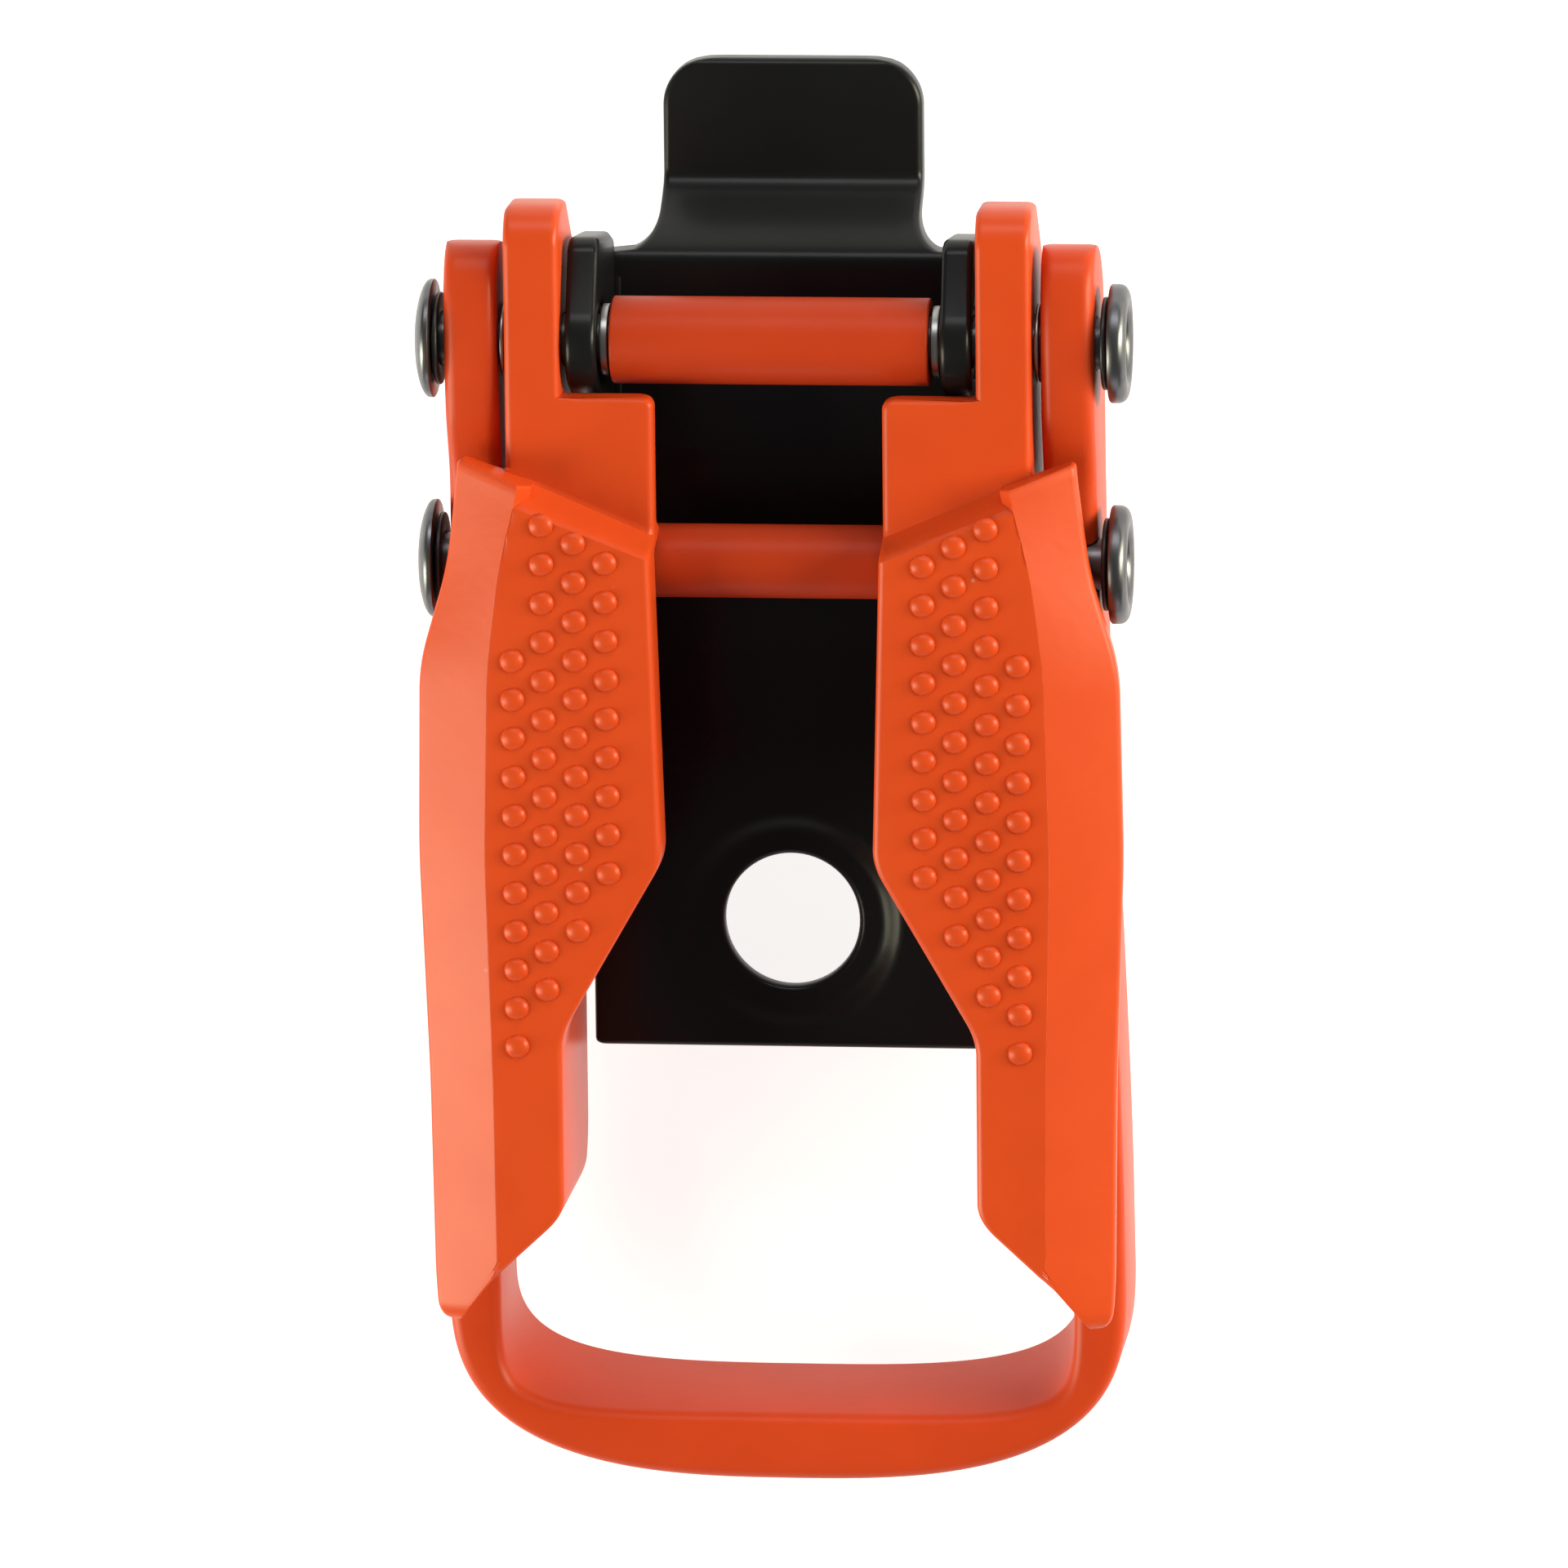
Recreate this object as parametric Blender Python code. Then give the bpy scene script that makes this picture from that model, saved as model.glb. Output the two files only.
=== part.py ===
"""Over-centre strap buckle: a stamped base plate, a riveted two-grip lever with a finger loop, two sleeves.

Frame: the origin is on the underside of the base plate, on the centre line, straight below the pivot axle.
+Y runs to the front tongue, -Y to the finger loop, +X to the right-hand grip and +Z up to the lever.
"""
import math

import bmesh
import bpy
from mathutils import Matrix, Vector

MM = 0.001

# --- base plate ---
STRAP_WIDTH = 20.0 * MM        # clear passage between the two ears
SHEET = 1.8 * MM               # thickness of the stamped sheet
BASE_LENGTH = 43.6 * MM        # pivot axle to the rear edge
HOLE_RADIUS = 4.0 * MM         # mounting hole
HOLE_TO_REAR = 7.6 * MM        # hole centre to the rear edge
DISH_RADIUS = 6.6 * MM         # pressed dish around the hole
DISH_DEPTH = 0.5 * MM
DISH_SLOPE = 1.0 * MM          # width of the dish's sloped border
TONGUE_WIDTH = 15.3 * MM
TONGUE_REACH = 14.7 * MM       # pivot axle to the tip
TONGUE_DROP = 5.2 * MM         # the tongue lies this far below the floor
TONGUE_CORNER = 2.8 * MM
FRONT_BEND = 3.4 * MM          # pivot axle to where the floor starts to fall
SLOPE_RUN = 4.6 * MM           # length of the falling part along Y
ROOT_FILLET = 2.0 * MM         # between the tongue and the floor's front edge
EAR_FRONT = 6.0 * MM
EAR_REAR = 7.6 * MM
EAR_RIM = 0.95 * MM            # metal around the bush
EAR_STEP = 0.05 * MM           # the floor's edge stops this far inside the ears' outer faces

# --- axles, sleeves and washers ---
PIVOT_HEIGHT = 8.6 * MM        # both axles above the underside
PIVOT_SPACING = 13.0 * MM      # pivot axle to strap axle
PIN_RADIUS = 1.5 * MM
BORE_CLEARANCE = 0.10 * MM     # radial, on every bore an axle runs in
BUSH_WALL = 0.45 * MM
BUSH_FIT = 0.05 * MM
PIVOT_SLEEVE_WALL = 0.95 * MM
STRAP_SLEEVE_WALL = 0.55 * MM
WASHER_THICKNESS = 0.5 * MM
END_FLOAT = 0.12 * MM          # side play on each face of a washer or a sleeve
END_WASHER_RADIUS = 2.1 * MM   # beside the two sleeves
SPACER_RADIUS = 2.3 * MM       # small enough to sit under the fins
HEAD_WASHER_RADIUS = 2.7 * MM
HEAD_WASHER = 0.3 * MM         # thickness of the thin washers under the rivet heads
HEAD_RADIUS = 3.45 * MM
HEAD_HEIGHT = 1.1 * MM
HEAD_RECESS_RADIUS = 1.9 * MM
HEAD_RECESS_DEPTH = 0.7 * MM
RECESS_FLOOR = 0.72            # radius of the recess floor as a share of its mouth

# --- grips ---
SIDE_GAP = 0.3 * MM            # base ear to grip wall
GRIP_WALL = 3.2 * MM
GRIP_FRONT = 8.1 * MM          # front end ahead of the pivot
GRIP_EAR_TOP = 3.2 * MM        # top of the front ear and flange above the axles
GRIP_TOP = 6.0 * MM            # top of the plateau above the axles
GRIP_BOTTOM = 6.3 * MM         # lower edge of the wall below the axles
FLANGE_THICKNESS = 1.6 * MM
FLANGE_REACH = 5.45 * MM       # flange inwards from the wall's inner face
FLANGE_CLEARANCE = 0.25 * MM   # swing clearance between the flange and the base ear
NOSE_ROUND = 2.2 * MM          # rounding of the front ear's upper corner
CHIN_DROP = 1.4 * MM           # where the ear's front face ends, below the axles
CHIN_BACK = 3.4 * MM           # pivot axle to the foot of the sloping chin
FLANGE_CORNER = 0.6 * MM
PLATEAU_THICKNESS = 3.2 * MM
PLATEAU_NARROWING = 0.5 * MM   # the plateau's inner edge drifts inwards by this much
PLATEAU_OVERHANG = 0.6 * MM    # plateau past the wall's outer face, under the fin's root
CREASE_INNER = 2.8 * MM        # strap axle to the crease at the inner edge
CREASE_WALL = 6.0 * MM         # strap axle to the crease over the wall
CREASE_OUTER = 5.0 * MM        # strap axle to the crease under the fin
CREASE_RUN = 2.0 * MM          # length of the slope from the flange up to the plateau
CREST_FRONT = 6.6 * MM         # strap axle to the foot of the wall's rise
CREST_REAR = 4.0 * MM          # strap axle to the head of the wall's rise
GRIP_TO_BAR = 6.3 * MM         # grip tips to the loop's cross bar
WAIST_LENGTH = 17.6 * MM       # tips to the end of the inner diagonal
WAIST_RUN = 10.3 * MM          # length of the inner diagonal
HEEL_LENGTH = 10.1 * MM        # tips to the centre of the heel's curve
HEEL_RADIUS = 4.0 * MM
HEEL_END = 5.6 * MM            # tips to the rear end of the wall
TIP_RUN = 6.8 * MM             # length of the diagonal at the tips
TIP_BEND = (1.1 * MM, 2.8 * MM)    # bend of the tip diagonal: outside the wall, ahead of the tip
TIP_END = (2.6 * MM, 0.8 * MM)     # end of the tip diagonal, measured the same way
FIN_REACH = 5.3 * MM           # fin outwards from the wall's outer face
FIN_DROP = 2.0 * MM            # fin's outer edge below its ridge
FIN_THICKNESS = 1.6 * MM
FIN_PROUD = 0.05 * MM          # the ridge stands this much above the plateau
FIN_ROOT = 0.5 * MM            # the front of the fin's root reaches this far into the wall
FIN_FOOT = 0.1 * MM            # the outer edge leans in by this much at its foot
FIN_FRONT = 7.0 * MM           # pivot axle to the fin's front end
FIN_SKEW = 0.6 * MM            # half the slant of the front end
FIN_FLARE_RUN = 5.5 * MM       # strap axle to where the fin reaches its full slope
# ridge outside the wall, edge inside the arm's outer face, share of the drop
FIN_AT_FRONT = (-1.1 * MM, 1.0 * MM, 0.9)
FIN_AT_STRAP = (0.2 * MM, 0.15 * MM, 0.95)
# share of the way to the tip, ridge and root outside the wall, edge inside the full reach
FIN_REAR = ((0.0, 0.9 * MM, -0.5 * MM, 0.2 * MM), (0.28, 1.2 * MM, -0.5 * MM, 0.0),
            (0.62, 0.9 * MM, -0.5 * MM, 0.45 * MM), (0.88, 0.8 * MM, -0.5 * MM, 0.6 * MM),
            (0.94, 1.7 * MM, 1.6 * MM, 0.6 * MM), (0.975, 2.6 * MM, 2.5 * MM, 0.7 * MM),
            (0.999, 3.3 * MM, 3.2 * MM, 1.1 * MM))

# --- finger loop ---
LEVER_LENGTH = 68.8 * MM       # pivot axle to the outer face of the cross bar
SPACER_GAP = 0.5 * MM          # grip wall to loop arm
ARM = 3.1 * MM                 # thickness of the arms
ARM_FLARE = 1.2 * MM           # the arms spread by this much towards the cross bar
ARM_FRONT = 5.7 * MM
ARM_TOP = 2.9 * MM             # top of the arms' front above the axles
ARM_TOP_POWER = 3.0            # superellipse of the arms' rounded front, upper and lower quarter
ARM_LOW_POWER = 2.2
ARM_DIP = 1.2 * MM             # the arms' top dips under the fins
DIP_FRONT = 4.0 * MM           # pivot axle to the dip, and the length of its slope
HEAD_FLARE = 0.2               # share of the spread that both rivets allow for
FLARE_FRONT = 8.0 * MM         # pivot axle to where the arms start to spread
ARM_SAMPLE = 24.0 * MM         # one more section between the dip and the rounded end
BAR = 4.8 * MM                 # thickness of the cross bar
BAR_TOP = 6.6 * MM             # cross bar's top above the underside of the base
BAR_BOTTOM = -1.8 * MM
LOOP_END_RUN = 11.8 * MM       # length of the rounded end of the loop
LOOP_INNER_POWER = 5.0         # superellipse of the end's inner and outer outline
LOOP_OUTER_POWER = 2.8
FRONT_SHARES = (0.985, 0.93, 0.82, 0.64, 0.4, 0.0)     # sections along the arms' rounded front
DIP_SHARES = (1.0, 1.5, 2.0)                           # sections along the dip's slope
LAST_SHARE = 0.8                                       # last section before the rounded end
LOOP_END_STEPS = 28
CUT_REACH = 1.0 * MM           # cutting tools reach this far past the metal

SEGMENTS = 32                  # facets of round pieces

EAR_INNER = STRAP_WIDTH / 2
EAR_OUTER = EAR_INNER + SHEET
WALL_INNER = EAR_OUTER + SIDE_GAP
WALL_OUTER = WALL_INNER + GRIP_WALL
ARM_INNER = WALL_OUTER + SPACER_GAP
ARM_OUTER = ARM_INNER + ARM
BORE_RADIUS = PIN_RADIUS + BORE_CLEARANCE
BUSH_RADIUS = BORE_RADIUS + BUSH_WALL
EAR_BORE = BUSH_RADIUS + BUSH_FIT
EAR_RADIUS = EAR_BORE + EAR_RIM
FLANGE_UNDER = GRIP_EAR_TOP - FLANGE_THICKNESS
FLANGE_FRONT = math.sqrt((EAR_RADIUS + FLANGE_CLEARANCE) ** 2 - FLANGE_UNDER ** 2)
FLANGE_INNER = WALL_INNER - FLANGE_REACH
GRIP_END = LEVER_LENGTH - BAR - GRIP_TO_BAR
LOOP_END = LEVER_LENGTH - LOOP_END_RUN
ARM_FACE = ARM_OUTER + ARM_FLARE * HEAD_FLARE   # the spread arms' outer face beside the strap rivet
HEAD_SEAT = ARM_FACE + HEAD_WASHER + 2 * END_FLOAT
HOLE_Y = -(BASE_LENGTH - HOLE_TO_REAR)
STRAP_Y = -PIVOT_SPACING


def clear_scene():
    for old in list(bpy.data.objects):
        bpy.data.objects.remove(old, do_unlink=True)


def finish(material, colour, roughness, metallic):
    made = bpy.data.materials.new(material)
    made.use_nodes = True
    shader = made.node_tree.nodes["Principled BSDF"]
    shader.inputs["Base Color"].default_value = (*colour, 1.0)
    shader.inputs["Roughness"].default_value = roughness
    shader.inputs["Metallic"].default_value = metallic
    return made


def add_object(name, mesh_builder, smooth=False):
    """Turn a bmesh into an object with outward faces."""
    bmesh.ops.remove_doubles(mesh_builder, verts=mesh_builder.verts, dist=1e-7)
    bmesh.ops.recalc_face_normals(mesh_builder, faces=mesh_builder.faces)
    if mesh_builder.calc_volume(signed=True) < 0:
        bmesh.ops.reverse_faces(mesh_builder, faces=mesh_builder.faces)
    mesh = bpy.data.meshes.new(name)
    mesh_builder.to_mesh(mesh)
    mesh_builder.free()
    if smooth:
        mesh.shade_smooth()
        mesh.set_sharp_from_angle(angle=math.radians(35))
    made = bpy.data.objects.new(name, mesh)
    bpy.context.scene.collection.objects.link(made)
    return made


def loft(name, rings):
    """Skin equal rings of points, with a cap on each end."""
    build = bmesh.new()
    loops = [[build.verts.new(point) for point in ring] for ring in rings]
    count = len(rings[0])
    for near, far in zip(loops, loops[1:]):
        for i in range(count):
            j = (i + 1) % count
            build.faces.new((near[i], near[j], far[j], far[i]))
    build.faces.new(loops[0])
    build.faces.new(loops[-1])
    bmesh.ops.triangulate(build, faces=build.faces, ngon_method="EAR_CLIP")
    return add_object(name, build)


def prism_x(name, outline, x0, x1):
    """Extrude a (y, z) outline along X."""
    return loft(name, [[(x, y, z) for y, z in outline] for x in (x0, x1)])


def prism_z(name, outline, z0, z1, top_outline=None):
    """Extrude an (x, y) outline along Z; a second outline of as many points tapers it."""
    upper = top_outline or outline
    return loft(name, [[(x, y, z0) for x, y in outline], [(x, y, z1) for x, y in upper]])


def turned(name, profile, centre):
    """Spin a closed (x, radius) profile about the line along X through centre."""
    build = bmesh.new()
    verts = [build.verts.new((x, radius, 0.0)) for x, radius in profile]
    edges = [build.edges.new((verts[i - 1], verts[i])) for i in range(len(verts))]
    bmesh.ops.spin(build, geom=verts + edges, axis=(1, 0, 0), cent=(0, 0, 0), dvec=(0, 0, 0),
                   angle=2 * math.pi, steps=SEGMENTS, use_merge=True, use_duplicate=False)
    bmesh.ops.remove_doubles(build, verts=build.verts, dist=1e-6)
    made = add_object(name, build, smooth=True)
    made.location = centre
    return made


def tube(name, x0, x1, inner, outer, centre):
    return turned(name, [(x0, inner), (x1, inner), (x1, outer), (x0, outer)], centre)


def combine(target, tool, operation):
    """Apply a boolean of another closed object to the target, then drop that object.

    MANIFOLD, because EXACT returns an empty mesh for several of these unions.
    """
    step = target.modifiers.new(operation.lower(), "BOOLEAN")
    step.operation = operation
    step.solver = "MANIFOLD"
    step.object = tool
    bpy.context.view_layer.update()
    result = bpy.data.meshes.new_from_object(target.evaluated_get(bpy.context.evaluated_depsgraph_get()))
    target.modifiers.remove(step)
    result.name = target.name
    target.data = result
    bpy.data.objects.remove(tool, do_unlink=True)


def bore(target, y, z, radius, reach):
    """Cut a hole along X through everything from -reach to +reach."""
    build = bmesh.new()
    turn = Matrix.Translation((0, y, z)) @ Matrix.Rotation(math.pi / 2, 4, "Y")
    bmesh.ops.create_cone(build, cap_ends=True, segments=SEGMENTS, radius1=radius, radius2=radius,
                          depth=2 * reach, matrix=turn)
    combine(target, add_object("bore_cutter", build), "DIFFERENCE")


def arc(centre, radius, start, end, steps):
    """Points of an arc in degrees, both ends included."""
    angles = [math.radians(start + (end - start) * i / steps) for i in range(steps + 1)]
    return [(centre[0] + radius * math.cos(a), centre[1] + radius * math.sin(a)) for a in angles]


def sheet_profile():
    """Side view of the sheet as (y, top z) stations, from the rear edge to the tongue's tip."""
    low = SHEET - TONGUE_DROP
    floor_end = FRONT_BEND
    slope_end = FRONT_BEND + SLOPE_RUN
    stations = [(-BASE_LENGTH, SHEET), (floor_end - 1.2 * MM, SHEET)]
    steps = 8
    for i in range(1, steps):
        share = i / steps
        ease = share * share * (3 - 2 * share)
        stations.append((floor_end + (slope_end - floor_end) * share, SHEET - TONGUE_DROP * ease))
    stations.append((slope_end, low))
    for i in range(1, 6):
        angle = math.radians(18 * i)
        stations.append((TONGUE_REACH - TONGUE_CORNER * (1 - math.sin(angle)), low))
    return stations


def sheet_half_width(y):
    """Half the width of the sheet at a station."""
    tongue = TONGUE_WIDTH / 2
    root = FRONT_BEND + 0.6 * MM
    if y <= root:
        return EAR_OUTER - EAR_STEP
    if y < root + ROOT_FILLET:
        rise = (root + ROOT_FILLET - y) / ROOT_FILLET
        return tongue + ROOT_FILLET * (1 - math.sqrt(max(0.0, 1 - rise * rise)))
    corner = y - (TONGUE_REACH - TONGUE_CORNER)
    if corner > 0:
        return tongue - TONGUE_CORNER + math.sqrt(max(0.0, TONGUE_CORNER ** 2 - corner ** 2))
    return tongue


def ear_outline():
    """Side view of a base ear: a rounded boss on the pivot with a shoulder in front."""
    boss = arc((0.0, PIVOT_HEIGHT), EAR_RADIUS, 165, 48, 10)
    nose_radius = 1.4 * MM
    nose = arc((EAR_FRONT - nose_radius, PIVOT_HEIGHT - 0.2 * MM), nose_radius, 60, 0, 4)
    foot = SHEET / 4
    return [(-EAR_REAR, foot)] + boss + nose + [
        (EAR_FRONT - 0.6 * MM, SHEET + 1.0 * MM), (FRONT_BEND, SHEET / 2), (FRONT_BEND - 1.0 * MM, foot)]


def base_plate():
    rings = []
    for y, top in sheet_profile():
        half = sheet_half_width(y)
        rings.append([(-half, y, top - SHEET), (half, y, top - SHEET), (half, y, top), (-half, y, top)])
    plate = loft("base_plate", rings)
    for side in (-1, 1):
        ear = prism_x("ear", ear_outline(), side * EAR_INNER, side * EAR_OUTER)
        combine(plate, ear, "UNION")
    bore(plate, 0.0, PIVOT_HEIGHT, EAR_BORE, EAR_OUTER + 1 * MM)
    build = bmesh.new()
    dish = Matrix.Translation((0, HOLE_Y, SHEET + DISH_DEPTH / 2))
    bmesh.ops.create_cone(build, cap_ends=True, segments=SEGMENTS, radius1=DISH_RADIUS - DISH_SLOPE,
                          radius2=DISH_RADIUS + 2 * DISH_SLOPE, depth=3 * DISH_DEPTH, matrix=dish)
    combine(plate, add_object("dish_cutter", build), "DIFFERENCE")
    build = bmesh.new()
    hole = Matrix.Translation((0, HOLE_Y, 0))
    bmesh.ops.create_cone(build, cap_ends=True, segments=SEGMENTS, radius1=HOLE_RADIUS,
                          radius2=HOLE_RADIUS, depth=6 * SHEET, matrix=hole)
    combine(plate, add_object("hole_cutter", build), "DIFFERENCE")
    return plate


def grip_wall_outline():
    """Side view of a grip's wall: front ear, straight lower edge and upswept rear."""
    low = PIVOT_HEIGHT - GRIP_BOTTOM
    ear_top = PIVOT_HEIGHT + GRIP_EAR_TOP
    mid_plateau = PIVOT_HEIGHT + GRIP_TOP - PLATEAU_THICKNESS / 2
    front = arc((GRIP_FRONT - NOSE_ROUND, ear_top - NOSE_ROUND), NOSE_ROUND, 90, 0, 5)
    chin = [(GRIP_FRONT, PIVOT_HEIGHT - CHIN_DROP), (CHIN_BACK, low)]
    heel = arc((HEEL_LENGTH - GRIP_END, low + HEEL_RADIUS), HEEL_RADIUS, 270, 190, 5)
    rear = [(HEEL_END - GRIP_END, mid_plateau)]
    crest = [(STRAP_Y + CREST_REAR, mid_plateau), (STRAP_Y + CREST_FRONT, ear_top)]
    return front + chin + heel + rear + crest


def plateau_outline(front_shift):
    """Plan view of the plateau for the right-hand grip; its front crease runs diagonally."""
    outer = WALL_OUTER + PLATEAU_OVERHANG
    waist_end = GRIP_END - WAIST_LENGTH
    return [(WALL_OUTER - PLATEAU_OVERHANG, STRAP_Y + CREASE_WALL - front_shift),
            (FLANGE_INNER, STRAP_Y + CREASE_INNER - front_shift),
            (FLANGE_INNER - PLATEAU_NARROWING, WAIST_RUN - waist_end),
            (WALL_INNER, -waist_end),
            (WALL_INNER, TIP_RUN - GRIP_END),
            (WALL_OUTER + TIP_BEND[0], TIP_BEND[1] - GRIP_END),
            (WALL_OUTER + TIP_END[0], TIP_END[1] - GRIP_END),
            (outer, STRAP_Y + CREASE_OUTER - front_shift)]


def fin_rings():
    """Sections of a right-hand fin, front to tip, each as ridge, outer edge and inner underside.

    The fin stays inside the arm's outer face over the strap rivet, because the rivet's head stands there.
    """
    top = PIVOT_HEIGHT + GRIP_TOP
    stations = []
    for y, skew, (ridge_out, edge_in, drop) in ((-FIN_FRONT, FIN_SKEW, FIN_AT_FRONT), (STRAP_Y, 0.0, FIN_AT_STRAP)):
        root = WALL_OUTER + min(0.0, ridge_out) - FIN_ROOT
        stations.append((y, WALL_OUTER + ridge_out, root, ARM_OUTER - edge_in, drop, skew))
    flared = STRAP_Y - FIN_FLARE_RUN
    for share, ridge_out, root_out, edge_in in FIN_REAR:
        y = flared - (GRIP_END + flared) * share
        edge = WALL_OUTER + FIN_REACH - edge_in
        stations.append((y, WALL_OUTER + ridge_out, WALL_OUTER + root_out, edge, 1.0, 0.0))
    rings = []
    for y, ridge, root, edge, drop, skew in stations:
        edge_top = top - FIN_DROP * drop
        foot = edge_top - FIN_THICKNESS
        rings.append([(ridge, y - skew, top + FIN_PROUD), (edge, y + skew, edge_top),
                      (edge - FIN_FOOT, y + skew, foot), (root, y - skew, foot), (root, y - skew, top + FIN_PROUD)])
    return rings


def grip(name, side):
    """One grip: wall, front flange, plateau and fin joined into one piece; side is -1 left, +1 right."""
    piece = prism_x(name, grip_wall_outline(), WALL_INNER, WALL_OUTER)
    round_corner = arc((FLANGE_INNER + FLANGE_CORNER, -FLANGE_FRONT - FLANGE_CORNER), FLANGE_CORNER, 90, 180, 3)
    mid_wall = (WALL_INNER + WALL_OUTER) / 2
    under_crease = STRAP_Y + CREASE_INNER - CREASE_RUN / 4
    flange = [(mid_wall, -FLANGE_FRONT)] + round_corner + [(FLANGE_INNER, under_crease), (mid_wall, under_crease)]
    combine(piece, prism_z("flange", flange, PIVOT_HEIGHT + FLANGE_UNDER, PIVOT_HEIGHT + GRIP_EAR_TOP), "UNION")
    plateau = prism_z("plateau", plateau_outline(0.0), PIVOT_HEIGHT + GRIP_TOP - PLATEAU_THICKNESS,
                      PIVOT_HEIGHT + GRIP_TOP, plateau_outline(CREASE_RUN))
    combine(piece, plateau, "UNION")
    combine(piece, loft("fin", fin_rings()), "UNION")
    for y in (0.0, STRAP_Y):
        bore(piece, y, PIVOT_HEIGHT, BORE_RADIUS, WALL_OUTER + CUT_REACH)
    if side < 0:
        mirror_mesh(piece)
    return piece


def mirror_mesh(piece):
    """Reflect a finished mesh across the centre plane and keep its faces outward."""
    piece.data.transform(Matrix.Scale(-1, 4, Vector((1, 0, 0))))
    piece.data.flip_normals()


def loop_top(y):
    """Top of the finger loop at a place along Y."""
    if y > 0:
        share = y / ARM_FRONT
        return PIVOT_HEIGHT + ARM_TOP * (1 - share ** ARM_TOP_POWER) ** (1 / ARM_TOP_POWER)
    run = min(1.0, -y / LOOP_END)
    shoulder = PIVOT_HEIGHT + ARM_TOP
    dip = ARM_DIP * min(1.0, max(0.0, (-y - DIP_FRONT) / DIP_FRONT))
    return shoulder + (BAR_TOP - shoulder) * run - dip * (1 - run)


def loop_bottom(y):
    """Lower edge of the finger loop at a place along Y."""
    if y > 0:
        share = y / ARM_FRONT
        return PIVOT_HEIGHT - ARM_FRONT * (1 - share ** ARM_LOW_POWER) ** (1 / ARM_LOW_POWER)
    start = PIVOT_HEIGHT - ARM_FRONT
    return start + (BAR_BOTTOM - start) * min(1.0, -y / LOOP_END)


def loop_stations():
    """Plan stations of the loop, right arm, rounded end, left arm: (inner x, y, outer x, y)."""
    arm = [ARM_FRONT * share for share in FRONT_SHARES] + [-DIP_FRONT * share for share in DIP_SHARES]
    right = []
    for y in arm + [-ARM_SAMPLE, -LOOP_END * LAST_SHARE]:
        flare = ARM_FLARE * max(0.0, (-y - FLARE_FRONT) / (LOOP_END - FLARE_FRONT))
        right.append((ARM_INNER + flare, y, ARM_OUTER + flare, y))
    end = []
    for i in range(LOOP_END_STEPS + 1):
        angle = math.pi * i / LOOP_END_STEPS
        inner_x, inner_y = superellipse(math.cos(angle), math.sin(angle), LOOP_INNER_POWER)
        outer_x, outer_y = superellipse(math.cos(angle), math.sin(angle), LOOP_OUTER_POWER)
        end.append(((ARM_INNER + ARM_FLARE) * inner_x, -LOOP_END - (LOOP_END_RUN - BAR) * inner_y,
                    (ARM_OUTER + ARM_FLARE) * outer_x, -LOOP_END - LOOP_END_RUN * outer_y))
    left = [(-ix, iy, -ox, oy) for ix, iy, ox, oy in reversed(right)]
    return right + end + left


def superellipse(along, across, power):
    """The point of a unit superellipse in the direction (along, across)."""
    scale = (abs(along) ** power + abs(across) ** power) ** (-1 / power)
    return along * scale, across * scale


def lever_loop():
    rings = []
    for inner_x, inner_y, outer_x, outer_y in loop_stations():
        rings.append([(inner_x, inner_y, loop_bottom(inner_y)), (outer_x, outer_y, loop_bottom(inner_y)),
                      (outer_x, outer_y, loop_top(inner_y)), (inner_x, inner_y, loop_top(inner_y))])
    loop = loft("lever_loop", rings)
    for y in (0.0, STRAP_Y):
        bore(loop, y, PIVOT_HEIGHT, BORE_RADIUS, ARM_OUTER + ARM_FLARE + CUT_REACH)
    return loop


def axle(name, y):
    """A rivet: domed head on the left, plain shank, rolled tubular head on the right."""
    seat = HEAD_SEAT
    dome = []
    for i in range(7):
        angle = math.radians(90 * i / 6)
        dome.append((-seat - HEAD_HEIGHT * math.cos(angle), HEAD_RADIUS * math.sin(angle)))
    dome[0] = (-seat - HEAD_HEIGHT, 0.0)
    rolled = [(seat, PIN_RADIUS), (seat, HEAD_RADIUS)]
    rolled += arc_profile(seat + HEAD_HEIGHT / 2, HEAD_RADIUS, HEAD_RECESS_RADIUS, HEAD_HEIGHT / 2)
    recess = [(seat + HEAD_HEIGHT - HEAD_RECESS_DEPTH, HEAD_RECESS_RADIUS * RECESS_FLOOR),
              (seat + HEAD_HEIGHT - HEAD_RECESS_DEPTH, 0.0)]
    profile = dome + [(-seat, PIN_RADIUS)] + rolled + recess
    build = bmesh.new()
    verts = [build.verts.new((x, radius, 0.0)) for x, radius in profile]
    edges = [build.edges.new(pair) for pair in zip(verts, verts[1:])]
    bmesh.ops.spin(build, geom=verts + edges, axis=(1, 0, 0), cent=(0, 0, 0), dvec=(0, 0, 0),
                   angle=2 * math.pi, steps=SEGMENTS, use_merge=True, use_duplicate=False)
    bmesh.ops.remove_doubles(build, verts=build.verts, dist=1e-6)
    made = add_object(name, build, smooth=True)
    made.location = (0, y, PIVOT_HEIGHT)
    return made


def arc_profile(x_start, outer, inner, height):
    """The rolled rim between two radii, as a half ellipse that stands height proud of x_start."""
    middle = (outer + inner) / 2
    half = (outer - inner) / 2
    points = []
    for i in range(7):
        angle = math.pi * i / 6
        points.append((x_start + height * math.sin(angle), middle + half * math.cos(angle)))
    return points


def place(pieces, parent, material):
    """Give pieces their material and hang them on the empty of their joint."""
    for piece in pieces:
        piece.data.materials.clear()
        piece.data.materials.append(material)
        if parent is not None:
            piece.parent = parent
            piece.matrix_parent_inverse = parent.matrix_world.inverted()


def joint_empty(name, y):
    made = bpy.data.objects.new(name, None)
    made.location = (0, y, PIVOT_HEIGHT)
    bpy.context.scene.collection.objects.link(made)
    bpy.context.view_layer.update()
    return made


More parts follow.
